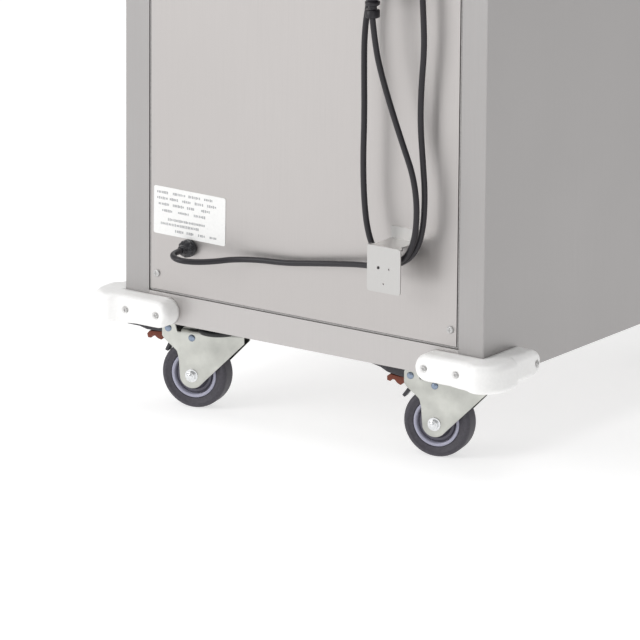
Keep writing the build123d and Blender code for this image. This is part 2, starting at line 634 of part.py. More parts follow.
def caster_plate():
    """Top plate with the upper race and the riveted kingpin, on the swivel axis."""
    top = PLATE_TOP - 0.1
    plate = block(-52, 52, -42, 42, top - PLATE_THICK, top)
    plate = fillet(plate.edges().filter_by(Axis.Z), 8)
    for dx, dy in PLATE_HOLES:
        plate -= rod(4.0, (dx, dy, top - 10), (dx, dy, top + 1))
    race = rod(RACE_RADIUS, (0, 0, 121.5), (0, 0, top - PLATE_THICK))
    pin = rod(6.0, (0, 0, 109.7), (0, 0, top - PLATE_THICK))
    head = fillet(rod(10.0, (0, 0, 106.0), (0, 0, 109.7)).edges().group_by(Axis.Z)[0], 2)
    return plate + race + pin + head


def leg_outline():
    """Side view of a fork leg, along the trail and up: round foot, raked front, rear ear."""
    foot = 19.0
    cut = foot * math.sin(math.radians(45))
    low = (TRAIL - cut, WHEEL_RADIUS - cut)
    front = (TRAIL - 77, 102.5)
    line = [low, front, (front[0], CROWN_TOP), (58, CROWN_TOP), (62, 126), (80, 126), (80, 104),
            (68, 93), (56, 84), (TRAIL + foot, 70), (TRAIL + foot, WHEEL_RADIUS)]
    arc = ThreePointArc(line[-1], (TRAIL, WHEEL_RADIUS - foot), low)
    return make_face([*Polyline(*line).edges(), arc])


def caster_fork(has_ears):
    """Pressed fork: crown with its lower race and two legs, axle bore and pedal pivot bore."""
    upright = Plane(origin=(0, 0, 0), x_dir=(1, 0, 0), z_dir=(0, -1, 0))
    leg = extrude(upright * leg_outline(), LEG_THICK)
    if not has_ears:
        leg -= block(57, 90, -10, 10, CROWN_TOP - 12, 130)
    inner = LEG_GAP / 2
    near = Pos(0, inner + LEG_THICK, 0) * leg
    far = Pos(0, -inner, 0) * leg
    crown = rod(37, (0, 0, CROWN_TOP - CROWN_THICK), (0, 0, CROWN_TOP))
    crown += block(-44, 50, -inner - 1, inner + 1, CROWN_TOP - CROWN_THICK, CROWN_TOP)
    race = rod(RACE_RADIUS, (0, 0, CROWN_TOP), (0, 0, 120.8))
    fork = near + far + crown + race
    fork -= rod(6.06, (0, 0, 90), (0, 0, 125))
    fork -= rod(4.1, (TRAIL, -40, WHEEL_RADIUS), (TRAIL, 40, WHEEL_RADIUS))
    if has_ears:
        u, z = PEDAL_PIVOT
        fork -= rod(3.1, (u, -40, z), (u, 40, z))
    return fork


def caster_axle():
    """Axle bolt with a hexagon head and a hexagon nut outside the legs."""
    reach = LEG_GAP / 2 + LEG_THICK + 0.1
    bolt = rod(4.0, (TRAIL, -reach - 8, WHEEL_RADIUS), (TRAIL, reach + 8.5, WHEEL_RADIUS))
    for side, thick in ((1, 6.0), (-1, 6.5)):
        plane = Plane(origin=(TRAIL, side * reach, WHEEL_RADIUS), z_dir=(0, side, 0))
        bolt += extrude(plane * RegularPolygon(7.5, 6), thick)
    return bolt


def wheel_hub():
    """Wheel centre with a stepped dish, a bearing boss and the bore on the axle."""
    w = WHEEL_WIDTH / 2
    boss = LEG_GAP / 2 - 0.6
    profile = [(4.06, -boss), (11, -boss), (11, -w + 6), (27, -w + 6), (31, -w + 1.5), (34.5, -w + 1.5),
               (34.5, w - 1.5), (31, w - 1.5), (27, w - 6), (11, w - 6), (11, boss), (4.06, boss)]
    face = make_face(Polyline(*profile, close=True))
    ring = revolve(Plane.XY * face, Axis.Y)
    return Pos(TRAIL, 0, WHEEL_RADIUS) * ring


def wheel_tyre():
    """Rubber tread with rounded shoulders, pressed on the wheel centre."""
    w = WHEEL_WIDTH / 2
    shoulder = 6.0
    r = WHEEL_RADIUS
    profile = [(34.5, -w + 1), (36, -w), (r - shoulder, -w)]
    line = Polyline(*profile)
    low = ThreePointArc((r - shoulder, -w), (r - shoulder * 0.29, -w + shoulder * 0.29), (r, -w + shoulder))
    tread = Line((r, -w + shoulder), (r, w - shoulder))
    high = ThreePointArc((r, w - shoulder), (r - shoulder * 0.29, w - shoulder * 0.29), (r - shoulder, w))
    close = Polyline((r - shoulder, w), (36, w), (34.5, w - 1), (34.5, -w + 1))
    face = make_face([*line.edges(), low, tread, high, *close.edges()])
    return Pos(TRAIL, 0, WHEEL_RADIUS) * revolve(face, Axis.Y)


def pedal_corners():
    """Slanted cuts that narrow the pedal towards its tip."""
    cuts = []
    for side in (-1, 1):
        outline = [(112, side * 18.1), (143, side * 18.1), (143, side * 9)]
        cuts.append(prism(100, 135, outline))
    return group(*cuts)


def brake_pedal():
    """Pressed pedal between the ears: tapered tread plate, pivot pin and brake shoe."""
    u, z = PEDAL_PIVOT
    side = Plane(origin=(0, 0, 0), x_dir=(1, 0, 0), z_dir=(0, -1, 0))
    outline = [(62, 113), (62, 122), (84, 125.5), (118, 127.5), (141, 128.5), (142, 126),
               (118, 121), (106, 115), (86, 110), (74, 109)]
    lever = extrude(side * make_face(Polyline(*outline, close=True)), 36)
    lever = Pos(0, 18, 0) * lever
    lever -= pedal_corners()
    lever -= block(60, 82, -10, 10, 100, 119)
    pin = rod(3.0, (u, -25, z), (u, 25, z))
    shoe = block(64, 67, -9, 9, 106, 120)
    heads = rod(5.0, (u, 22.3, z), (u, 25, z)) + rod(5.0, (u, -25, z), (u, -22.3, z))
    return lever + pin + heads + shoe


def brake_cam():
    """Red release cam under the pedal's root with a small hooked nose."""
    side = Plane(origin=(0, 0, 0), x_dir=(1, 0, 0), z_dir=(0, -1, 0))
    outline = [(83, 109.5), (84, 103), (88, 100), (93, 102), (98, 106.5), (101, 107), (104, 104),
               (108, 105), (108, 111), (104, 113.6), (98, 112.4), (90, 110.5)]
    cam = extrude(side * make_face(Polyline(*outline, close=True)), 30)
    return Pos(0, 15, 0) * cam


def placed(shape, x, y, angle):
    """Shape built on the swivel axis, turned and moved to its caster."""
    return Pos(x, y, 0) * Rot(0, 0, angle) * shape


def pressed(shape, angle):
    """Pedal piece turned down about its pivot by this angle."""
    u, z = PEDAL_PIVOT
    return Pos(u, 0, z) * Rot(0, angle, 0) * Pos(-u, 0, -z) * shape


def caster_bolts():
    """Four hexagon bolts up through each caster plate into its bearer."""
    bolts = []
    for x, y, *_ in CASTERS.values():
        for dx, dy in PLATE_HOLES:
            z = PLATE_TOP - 0.1 - PLATE_THICK
            head = Pos(x + dx, y + dy, z - 0.05) * extrude(RegularPolygon(6.5, 6), -2.6)
            bolts.append(head + rod(3.8, (x + dx, y + dy, z - 1), (x + dx, y + dy, z + 3)))
    return group(*bolts)


def screws():
    """Pan head screws of the rear cover and the bumpers."""
    found = []
    cover_x = HALF - BORDER - 14
    for x in (-cover_x, cover_x):
        for z in (COVER_Z0 + 27, 700, 1180, TOTAL_HEIGHT - 70):
            found.append(pan_head(x, REAR_Y + 0.1, z, (0, 1, 0)))
    for sx in (-1, 1):
        for y, out in ((REAR_Y + BUMPER_PROUD, 1), (FRONT_Y - BUMPER_PROUD, -1)):
            for x in (HALF - 24, HALF - 78):
                found.append(pan_head(sx * x, y + out * -1.5, BUMPER_SCREW_Z, (0, out, 0), head=3.4))
        for y in (REAR_Y - 86, FRONT_Y + 86):
            x = sx * (HALF + BUMPER_PROUD - 1.5)
            found.append(pan_head(x, y, BUMPER_SCREW_Z, (sx, 0, 0), head=3.4))
    return group(*found)


# ---------------------------------------------------------------- build every node
def build():
    save("side_panel_left", side_panel(1))
    save("side_panel_right", side_panel(-1))
    save("top_panel", top_panel())
    save("base_pan", base_pan())
    save("rear_cover", rear_cover())
    save("front_frame", front_frame())
    save("inner_liner", inner_liner())
    save("wall_insulation", wall_insulation())
    save("tray_racks", group(rack(1), rack(-1)))
    save("water_pan", water_pan())
    save("heating_element", heating_element())
    save("fan_motor", fan_motor())
    save("fan_rotor", fan_rotor())
    save("control_fascia", control_fascia())
    save("thermostat", thermostat())
    save("thermostat_knob", thermostat_knob())
    save("switch_frame", switch_frame())
    save("switch_rocker", rocker())
    save("indicator_lamps", indicator_lamps())
    save("thermometer_case", thermometer_case())
    save("thermometer_needle", thermometer_needle())
    save("door_skin", door_skin())
    save("door_insulation", door_insulation())
    save("door_liner", door_liner())
    save("door_gasket", door_gasket())
    save("hinge_fixed_leaves", hinge_fixed_leaves())
    save("hinge_door_leaves", hinge_door_leaves())
    save("door_handle", door_handle())
    save("push_handles", push_handles())
    save("cable_gland", cable_gland())
    save("cord_hooks", group(cord_hook(HOOK_SHELF_Z, -1), cord_hook(HOOK_TOP_SHELF_Z, 1)))
    save("rating_plate", rating_plate())
    save("corner_bumpers", group(*[bumper(sx, sy) for sx in (-1, 1) for sy in (-1, 1)]))
    save("pan_head_screws", screws())
    save("power_cord", power_cord())
    save("plug", plug())
    save("tie_strap", tie_strap())
    save("caster_bearers", caster_bearers())
    save("caster_bolts", caster_bolts())
    plates = [placed(caster_plate(), x, y, 0) for x, y, *_ in CASTERS.values()]
    save("caster_plates", group(*plates))
    for name, (x, y, angle, braked, pedal) in CASTERS.items():
        save("caster_fork_" + name, placed(caster_fork(braked), x, y, angle))
        save("wheel_hub_" + name, placed(wheel_hub(), x, y, angle))
        save("wheel_tyre_" + name, placed(wheel_tyre(), x, y, angle))
        save("axle_bolt_" + name, placed(caster_axle(), x, y, angle))
        if braked:
            save("brake_pedal_" + name, placed(pressed(brake_pedal(), pedal), x, y, angle))
            save("brake_cam_" + name, placed(pressed(brake_cam(), pedal), x, y, angle))


build()
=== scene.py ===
# %% [markdown]
# # A mobile food holding cabinet, seen from its service rear
# The engineering model is already packed: every panel, wheel and screw has its place. This
# notebook adds the looks. It loads that frame first, and never moves anything in it.

import json
import math

import bmesh
import bpy
import numpy as np
from mathutils import Matrix, Vector


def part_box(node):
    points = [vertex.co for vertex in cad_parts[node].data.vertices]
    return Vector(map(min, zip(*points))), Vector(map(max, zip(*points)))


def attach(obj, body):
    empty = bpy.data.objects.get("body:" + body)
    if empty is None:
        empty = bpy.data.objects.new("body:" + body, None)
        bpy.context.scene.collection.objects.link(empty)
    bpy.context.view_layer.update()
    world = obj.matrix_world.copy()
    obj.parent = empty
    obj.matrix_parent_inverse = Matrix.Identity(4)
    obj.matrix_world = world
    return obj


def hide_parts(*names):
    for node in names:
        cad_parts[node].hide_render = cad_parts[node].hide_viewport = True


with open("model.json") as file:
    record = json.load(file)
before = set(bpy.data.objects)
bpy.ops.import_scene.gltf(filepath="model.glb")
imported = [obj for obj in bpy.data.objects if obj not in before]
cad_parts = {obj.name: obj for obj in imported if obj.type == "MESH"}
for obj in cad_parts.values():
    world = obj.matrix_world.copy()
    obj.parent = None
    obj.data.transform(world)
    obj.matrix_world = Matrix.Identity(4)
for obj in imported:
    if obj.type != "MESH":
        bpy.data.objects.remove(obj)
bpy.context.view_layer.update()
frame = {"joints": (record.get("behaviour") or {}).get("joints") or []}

# %% Places that everything else is measured from
REAR_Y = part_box("rear_cover")[1].y
RAIL_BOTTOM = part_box("base_pan")[0].z
HALF_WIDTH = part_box("side_panel_left")[1].x
FRONT_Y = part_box("side_panel_left")[0].y
MM = 0.001
print("rear plane y", round(REAR_Y, 4), "rail bottom z", round(RAIL_BOTTOM, 4))

# %% [markdown]
# ## Camera
# The view is a long lens from behind, 35 degrees round and 15 degrees down, so the edges of the
# cabinet stay nearly parallel. A shorter lens close by would splay them. The camera's axes are
# worked out from those angles, and a hair of roll, rather than typed in as a rotation.

# %% Camera
VIEW_YAW = math.radians(35.27)
VIEW_PITCH = math.radians(15.36)
VIEW_ROLL = math.radians(0.43)
VIEW_DISTANCE = 10.0
LENS = 399.7


def make_camera():
    """Camera axes: back points from the aim to the lens, right is level, up = back x right."""
    back = Vector((-math.sin(VIEW_YAW) * math.cos(VIEW_PITCH),
                   math.cos(VIEW_YAW) * math.cos(VIEW_PITCH), math.sin(VIEW_PITCH)))
    right = Vector((-math.cos(VIEW_YAW), -math.sin(VIEW_YAW), 0.0))
    up = back.cross(right)
    across = math.cos(VIEW_ROLL) * right + math.sin(VIEW_ROLL) * up
    upright = math.cos(VIEW_ROLL) * up - math.sin(VIEW_ROLL) * right
    aim = Vector((-0.032, REAR_Y, RAIL_BOTTOM + 0.048))
    place = aim + back * VIEW_DISTANCE
    data = bpy.data.cameras.new("view")
    data.lens = LENS
    data.sensor_width = 36.0
    data.clip_end = 100.0
    camera = bpy.data.objects.new("view", data)
    bpy.context.scene.collection.objects.link(camera)
    axes = Matrix((across, upright, back)).transposed().to_4x4()
    camera.matrix_world = Matrix.Translation(place) @ axes
    bpy.context.scene.camera = camera
    return camera


camera = make_camera()
print("camera at", [round(v, 2) for v in camera.location])

# %% [markdown]
# ## Tools for meshes
# Each new piece is a surface: a grid of points worked out by a formula as whole numpy arrays. One
# helper turns a grid into a mesh, and a second spins a profile about an axis.

# %% Mesh helpers
def mesh_object(name, points, faces, smooth=True):
    """Object at the origin whose mesh has these points and faces."""
    mesh = bpy.data.meshes.new(name)
    mesh.from_pydata(np.asarray(points, float).reshape(-1, 3).tolist(), [], faces)
    mesh.update()
    if smooth:
        mesh.shade_smooth()
    else:
        mesh.shade_flat()
    piece = bpy.data.objects.new(name, mesh)
    bpy.context.scene.collection.objects.link(piece)
    return piece


def grid_faces(rows, columns, wrap_rows=False, wrap_columns=False):
    """Quads between neighbouring points of a rows x columns grid, wrapped where asked."""
    r = np.arange(rows if wrap_rows else rows - 1)
    c = np.arange(columns if wrap_columns else columns - 1)
    rr, cc = np.meshgrid(r, c, indexing="ij")
    r2, c2 = (rr + 1) % rows, (cc + 1) % columns
    quads = np.stack([rr * columns + cc, r2 * columns + cc, r2 * columns + c2, rr * columns + c2], -1)
    return quads.reshape(-1, 4).tolist()


def fix_normals(piece):
    """Merges doubled points and turns every face outwards."""
    bm = bmesh.new()
    bm.from_mesh(piece.data)
    bmesh.ops.remove_doubles(bm, verts=bm.verts, dist=1e-6)
    bmesh.ops.recalc_face_normals(bm, faces=bm.faces)
    bm.to_mesh(piece.data)
    bm.free()
    return piece


def spun(name, profile, centre, axis, segments=96):
    """Closed profile of (radius, along) points turned about an axis through centre.

    Point = centre + along * axis + radius * (cos t * e1 + sin t * e2), with e1, e2 square to axis.
    """
    axis = np.array(axis, float) / np.linalg.norm(axis)
    e1 = np.cross(axis, (0.0, 0.0, 1.0) if abs(axis[2]) < 0.9 else (1.0, 0.0, 0.0))
    e1 /= np.linalg.norm(e1)
    e2 = np.cross(axis, e1)
    profile = np.asarray(profile, float)
    t = np.linspace(0, 2 * np.pi, segments, endpoint=False)
    ring = np.cos(t)[:, None] * e1 + np.sin(t)[:, None] * e2
    points = (np.array(centre, float) + profile[None, :, 1, None] * axis
              + profile[None, :, 0, None] * ring[:, None, :])
    piece = mesh_object(name, points, grid_faces(segments, len(profile), True, True))
    return fix_normals(piece)


def rounded(points, radius, steps=6):
    """Closed outline with each corner replaced by an arc, found by the tangent lengths.

    radius is one number or one for each corner. Arc centre lies on the corner's bisector.
    """
    points = np.asarray(points, float)
    radii = np.broadcast_to(radius, len(points)).astype(float)
    out = []
    for k, corner in enumerate(points):
        before, after = points[k - 1], points[(k + 1) % len(points)]
        a = (before - corner) / np.linalg.norm(before - corner)
        b = (after - corner) / np.linalg.norm(after - corner)
        half = math.acos(max(-1.0, min(1.0, float(a @ b)))) / 2
        if radii[k] <= 0 or half > math.pi / 2 - 0.01:
            out.append(corner[None])
            continue
        reach = min(radii[k] / math.tan(half), 0.48 * np.linalg.norm(before - corner),
                    0.48 * np.linalg.norm(after - corner))
        r = reach * math.tan(half)
        centre = corner + (a + b) / np.linalg.norm(a + b) * math.hypot(r, reach)
        start, end = corner + a * reach - centre, corner + b * reach - centre
        sweep = math.atan2(start[0] * end[1] - start[1] * end[0], float(start @ end))
        t = np.linspace(0, sweep, steps)
        out.append(centre + np.stack([start[0] * np.cos(t) - start[1] * np.sin(t),
                                      start[0] * np.sin(t) + start[1] * np.cos(t)], -1))
    return np.concatenate(out)


def crisp(piece, angle):
    """Shades a piece smooth, and keeps edges sharper than the angle in degrees crisp."""
    piece.data.shade_smooth()
    piece.data.set_sharp_from_angle(angle=math.radians(angle))


def settle(piece, angle=35.0):
    """Works the modifiers into the mesh and keeps edges sharper than the angle crisp."""
    bpy.context.view_layer.update()
    graph = bpy.context.evaluated_depsgraph_get()
    mesh = bpy.data.meshes.new_from_object(piece.evaluated_get(graph))
    piece.modifiers.clear()
    piece.data = mesh
    crisp(piece, angle)
    return piece


def ease_edges(piece, width):
    """Rounds the corners of a slab by a narrow bevel."""
    edge = piece.modifiers.new("eased edges", "BEVEL")
    edge.width = width
    edge.segments = 2
    edge.limit_method = "ANGLE"
    edge.angle_limit = math.radians(50)


def thicken(piece, thickness, bevel=0.0004):
    """Gives a sheet its thickness about its middle surface, and eases the cut edges."""
    solid = piece.modifiers.new("thickness", "SOLIDIFY")
    solid.thickness = thickness
    solid.offset = 0.0
    ease_edges(piece, bevel)
    return settle(piece)


def joined(name, pieces):
    """One object made of several meshes."""
    bm = bmesh.new()
    for piece in pieces:
        bm.from_mesh(piece.data)
        bpy.data.objects.remove(piece)
    mesh = bpy.data.meshes.new(name)
    bm.to_mesh(mesh)
    bm.free()
    whole = bpy.data.objects.new(name, mesh)
    bpy.context.scene.collection.objects.link(whole)
    return whole


def fit(piece, material, body, slot, *replaced):
    """Finishes a piece: its material, the body that it rides on and the node it stands for. The slot is not
    used.
    """
    piece.data.materials.clear()
    piece.data.materials.append(material)
    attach(piece, body)
    if replaced:
        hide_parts(*replaced)
    print(piece.name, len(piece.data.polygons), "faces")
    return piece


# %% [markdown]
# ## Tools for finishes
# Every finish is a small node tree on Object coordinates. The pattern is then fixed to the
# material in millimetres, however large the piece is. The grain of brushed steel is noise that is
# squeezed across the brushing and stretched along it.

# %% Material helpers
def new_material(name, colour, roughness, metallic=0.0, **sockets):
    """Principled material with constants set on its own sockets; returns it and its parts."""
    material = bpy.data.materials.new(name)
    material.use_nodes = True
    tree = material.node_tree
    shader = tree.nodes["Principled BSDF"]
    shader.inputs["Base Color"].default_value = (*colour, 1.0)
    shader.inputs["Roughness"].default_value = roughness
    shader.inputs["Metallic"].default_value = metallic
    for socket, value in sockets.items():
        shader.inputs[socket.replace("_", " ")].default_value = value
    return material, tree, shader


def add_noise(tree, scale, detail=3.0, stretch=(1.0, 1.0, 1.0), roughness=0.5, turn=(0, 0, 0)):
    """Noise on Object coordinates in metres, stretched by a Mapping node."""
    coords = tree.nodes.new("ShaderNodeTexCoord")
    mapping = tree.nodes.new("ShaderNodeMapping")
    mapping.inputs["Scale"].default_value = stretch
    mapping.inputs["Rotation"].default_value = turn
    noise = tree.nodes.new("ShaderNodeTexNoise")
    noise.inputs["Scale"].default_value = scale
    noise.inputs["Detail"].default_value = detail
    noise.inputs["Roughness"].default_value = roughness
    tree.links.new(coords.outputs["Object"], mapping.inputs["Vector"])
    tree.links.new(mapping.outputs["Vector"], noise.inputs["Vector"])
    return noise.outputs["Fac"]


def add_range(tree, value, low, high, from_low=0.3, from_high=0.7):
    """Maps a value's middle range onto low..high."""
    node = tree.nodes.new("ShaderNodeMapRange")
    node.inputs["From Min"].default_value = from_low
    node.inputs["From Max"].default_value = from_high
    node.inputs["To Min"].default_value = low
    node.inputs["To Max"].default_value = high
    tree.links.new(value, node.inputs["Value"])
    return node.outputs["Result"]


def add_mix(tree, factor, first, second):
    """Mixes two colours, given as tuples or sockets, by a factor socket."""
    node = tree.nodes.new("ShaderNodeMix")
    node.data_type = "RGBA"
    for socket, colour in ((node.inputs[6], first), (node.inputs[7], second)):
        if isinstance(colour, tuple):
            socket.default_value = (*colour, 1.0)
        else:
            tree.links.new(colour, socket)
    tree.links.new(factor, node.inputs[0])
    return node.outputs[2]


def add_bump(tree, shader, height, distance, strength=0.5):
    """Feeds a height into the shader's normal."""
    bump = tree.nodes.new("ShaderNodeBump")
    bump.inputs["Distance"].default_value = distance
    bump.inputs["Strength"].default_value = strength
    tree.links.new(height, bump.inputs["Height"])
    tree.links.new(bump.outputs["Normal"], shader.inputs["Normal"])


def brushed_steel(name, colour, roughness, stretch, contrast=0.10, smudge=0.06):
    """Stainless sheet: stretched grain in tint and roughness, and faint cloudy smudges."""
    material, tree, shader = new_material(name, colour, roughness, 1.0)
    grain = add_noise(tree, 1.0, 4.0, stretch, 0.6)
    cloud = add_noise(tree, 3.2, 2.0)
    dark = tuple(c * (1 - contrast) for c in colour)
    light = tuple(min(1.0, c * (1 + contrast)) for c in colour)
    tint = add_mix(tree, add_range(tree, grain, 0.0, 1.0), dark, light)
    wiped = tuple(c * (1 - smudge) for c in colour)
    tint = add_mix(tree, add_range(tree, cloud, 0.0, 0.45), tint, wiped)
    tree.links.new(tint, shader.inputs["Base Color"])
    rough = add_range(tree, grain, roughness - 0.06, roughness + 0.08)
    tree.links.new(rough, shader.inputs["Roughness"])
    add_bump(tree, shader, grain, 0.00006, 0.35)
    return material


def speckled(name, colour, roughness, metallic=0.0, scale=400.0, contrast=0.12, bump=0.00004, **sockets):
    """Even finish with a fine mottle in tint, roughness and surface."""
    material, tree, shader = new_material(name, colour, roughness, metallic, **sockets)
    fine = add_noise(tree, scale, 4.0)
    dark = tuple(c * (1 - contrast) for c in colour)
    light = tuple(min(1.0, c * (1 + contrast)) for c in colour)
    tree.links.new(add_mix(tree, add_range(tree, fine, 0.0, 1.0), dark, light), shader.inputs["Base Color"])
    tree.links.new(add_range(tree, fine, roughness - 0.05, roughness + 0.07), shader.inputs["Roughness"])
    add_bump(tree, shader, fine, bump, 0.4)
    return material


def dress(material, *names):
    """Gives CAD nodes or pieces a material in place of their own."""
    for name in names:
        target = bpy.data.objects[name]
        target.data.materials.clear()
        target.data.materials.append(material)


# %% [markdown]
# ## Sheet metal
# The rear cover and its frame are satin stainless steel, brushed upright. The sides and the top get
# darker tints as painted shade, set by how the light falls on them. Each other sheet has its own tint,
# since sheets from different coils differ.

# %% Steel finishes
UPRIGHT_GRAIN = (900.0, 900.0, 9.0)
steel_rear = brushed_steel("rear cover steel", (0.525, 0.502, 0.492), 0.42, UPRIGHT_GRAIN, 0.05, 0.05)
# Side and top: the same stainless, darkened as painted shade
steel_side_painted_shade = brushed_steel("side steel painted shade", (0.435, 0.422, 0.418), 0.42, UPRIGHT_GRAIN, 0.06, 0.12)
steel_top_painted_shade = brushed_steel("top steel painted shade", (0.33, 0.322, 0.318), 0.62, (12.0, 700.0, 700.0), 0.05, 0.10)
steel_frame = brushed_steel("base steel", (0.55, 0.53, 0.522), 0.42, UPRIGHT_GRAIN, 0.05, 0.05)
steel_door = brushed_steel("door steel", (0.58, 0.57, 0.565), 0.36, UPRIGHT_GRAIN, 0.06, 0.05)
steel_liner = brushed_steel("liner steel", (0.60, 0.60, 0.60), 0.30, (700.0, 12.0, 700.0), 0.05, 0.05)
steel_hook = brushed_steel("hook sheet", (0.57, 0.562, 0.552), 0.42, (600.0, 600.0, 30.0), 0.04, 0.04)
dress(steel_rear, "rear_cover", "front_frame")
dress(steel_side_painted_shade, "side_panel_left", "side_panel_right")
dress(steel_top_painted_shade, "top_panel")
dress(steel_frame, "base_pan")
dress(steel_door, "door_skin", "door_liner", "control_fascia")
dress(steel_liner, "inner_liner", "tray_racks", "water_pan")
dress(steel_hook, "cord_hooks")

# %% [markdown]
# ## Small metal, rubber and plastic
# Zinc plating has a faint green and yellow cast. The bumpers are white moulded plastic, the tyres
# dark elastomer on grey nylon centres, and the brake's release cam is red nylon.

# %% Other finishes
CASTERS = ("rear_left", "rear_right", "front_left", "front_right")
zinc = speckled("zinc plating", (0.55, 0.555, 0.52), 0.33, 1.0, 26.0, 0.20, 0.00001)
bright = speckled("bright zinc", (0.78, 0.79, 0.80), 0.20, 1.0, 300.0, 0.06)
chrome = speckled("chromed casting", (0.80, 0.80, 0.81), 0.12, 1.0, 90.0, 0.03)
rubber = speckled("black rubber", (0.020, 0.020, 0.023), 0.42, 0.0, 500.0, 0.2)
bumper_white = speckled("bumper plastic", (0.95, 0.945, 0.935), 0.36, 0.0, 220.0, 0.02, 0.00003)
hub_plastic = speckled("wheel centre nylon", (0.10, 0.095, 0.125), 0.40, 0.0, 300.0, 0.08)
rim_nylon = speckled("pale rim nylon", (0.40, 0.40, 0.50), 0.32, 0.0, 300.0, 0.06)
# Painted shade: dark zinc for the fork's inner faces, where shade falls between the legs
zinc_painted_shade = speckled("zinc painted shade", (0.045, 0.045, 0.042), 0.40, 0.6, 160.0, 0.25)
# Painted shade: near-black for the caster plates, standing for the shade under the base
plate_painted_shade = speckled("plate painted shade", (0.035, 0.035, 0.036), 0.5, 0.5, 160.0, 0.2)
# Painted shade: grey for the bead in the rear cover's groove
groove_shade_grey = speckled("groove shade bead", (0.34, 0.33, 0.325), 0.6, 0.0, 300.0, 0.2)
nickel = speckled("dull nickel", (0.56, 0.555, 0.55), 0.45, 0.6, 500.0, 0.06)
# Painted shade: near-black for the race cup, standing for the dark gap between crown and base
race_painted_shade = speckled("race painted shade", (0.02, 0.02, 0.022), 0.55, 0.0, 200.0, 0.2)
blued = speckled("blued rivet", (0.28, 0.34, 0.44), 0.30, 0.9, 200.0, 0.10)
gland_gloss = speckled("gland nylon", (0.018, 0.018, 0.022), 0.16, 0.0, 260.0, 0.15)
print_grey = speckled("label print", (0.42, 0.42, 0.43), 0.5, 0.0, 900.0, 0.25)
tread = speckled("tyre elastomer", (0.058, 0.054, 0.067), 0.55, 0.0, 260.0, 0.22, 0.00012)
pedal_paint = speckled("pedal paint", (0.035, 0.033, 0.040), 0.38, 0.0, 350.0, 0.15)
cam_nylon = speckled("red nylon", (0.17, 0.032, 0.011), 0.36, 0.0, 300.0, 0.12)
black_gloss = speckled("black moulding", (0.020, 0.020, 0.022), 0.22, 0.0, 300.0, 0.1)
lamp = speckled("amber lens", (0.75, 0.26, 0.06), 0.15, 0.0, 200.0, 0.06)
needle_paint = speckled("needle paint", (0.50, 0.03, 0.02), 0.35, 0.0, 300.0, 0.05)
element = speckled("tinted element steel", (0.26, 0.21, 0.17), 0.45, 0.9, 60.0, 0.25)
motor_paint = speckled("motor paint", (0.10, 0.11, 0.12), 0.45, 0.0, 200.0, 0.12)
wool = speckled("mineral wool", (0.62, 0.52, 0.26), 0.9, 0.0, 300.0, 0.25, 0.0006)
sheath = speckled("cord sheath", (0.011, 0.009, 0.013), 0.42, 0.0, 500.0, 0.15)
strap_cloth = speckled("strap weave", (0.022, 0.022, 0.025), 0.8, 0.0, 900.0, 0.3, 0.0002)
label_film = speckled("label film", (0.88, 0.88, 0.87), 0.32, 0.0, 300.0, 0.02, 0.00001)
dress(zinc, "caster_bearers", "caster_bolts")
# The caster plates are dressed in painted shade
dress(plate_painted_shade, "caster_plates")
dress(nickel, "pan_head_screws")
dress(chrome, "door_handle", "push_handles", "hinge_fixed_leaves", "hinge_door_leaves", "thermometer_case")
dress(rubber, "door_gasket")
dress(black_gloss, "thermostat_knob", "switch_frame", "switch_rocker", "thermostat")
dress(lamp, "indicator_lamps")
dress(needle_paint, "thermometer_needle")
dress(element, "heating_element", "fan_rotor")
dress(motor_paint, "fan_motor")
dress(wool, "wall_insulation", "door_insulation")
dress(label_film, "rating_plate")

# %% [markdown]
# ## Corner bumpers
# Each corner of the base wears one soft white moulding: an arm along the rail, a fuller nose round
# the corner and an arm along the side. A box with bevels would look like a box. Here one rounded
# section is carried along the rail and turned about the corner. Its height swells first, and its
# depth only past the screws, so that their heads stay in shallow dips.

# %% Bumper surface
BUMPER_REAR_ARM = 96 * MM
BUMPER_SIDE_ARM = 98 * MM
BUMPER_TURN = 46 * MM              # length given to the quarter turn
BUMPER_PROUD = 33 * MM
BUMPER_EDGE = 9.5 * MM
BUMPER_MIDDLE = 18 * MM            # above the rail's lower edge
BUMPER_HALF_HEIGHT = 20 * MM
BUMPER_STAND_OFF = 0.2 * MM        # clear of the sheet behind it
NOSE_DEEPER = 10 * MM
NOSE_TALLER = 1.0 * MM
NOSE_DROP = 0.9 * MM
NOSE_TALL_START = (-40 * MM, -16 * MM)     # from where the turn starts
NOSE_DEEP_START = (-15 * MM, 12 * MM)
NOSE_END = (20 * MM, 31 * MM)              # from where the turn ends
SCREW_DIP = 3.2 * MM
SCREW_DIP_RADIUS = 5.2 * MM
BUMPER_SCREWS = (BUMPER_REAR_ARM - 78 * MM, BUMPER_REAR_ARM - 24 * MM,
                 BUMPER_REAR_ARM + BUMPER_TURN + 86 * MM)


def smooth_step(x, start, end):
    """0 before start, 1 after end, 3t^2 - 2t^3 between."""
    t = np.clip((x - start) / (end - start), 0, 1)
    return t * t * (3 - 2 * t)


def quarter_circle(x):
    """Rises from 0 at x = 0 to 1 at x = 1 as sqrt(1 - (1 - x)^2), and stays at 1."""
    return np.sqrt(np.clip(1 - (1 - np.clip(x, 0, 1)) ** 2, 0, 1))


def bumper_section():
    """Coefficients of a rounded section: depth = kp P + kr r, height = ka a + kz r, round the loop."""
    f = np.linspace(0, 1, 6)[:-1]
    arc = np.linspace(0, np.pi / 2, 9)
    g = np.linspace(-1, 1, 34)[1:-1]
    kp = np.concatenate([f, np.ones(len(arc) * 2 + len(g)), f[::-1]])
    kr = np.concatenate([-f, np.sin(arc) - 1, 0 * g, np.sin(arc[::-1]) - 1, -f[::-1]])
    ka = np.concatenate([0 * f - 1, 0 * arc - 1, g, 0 * arc + 1, 0 * f + 1])
    kz = np.concatenate([0 * f, 1 - np.cos(arc), -g, np.cos(arc[::-1]) - 1, 0 * f])
    return kp, kr, ka, kz


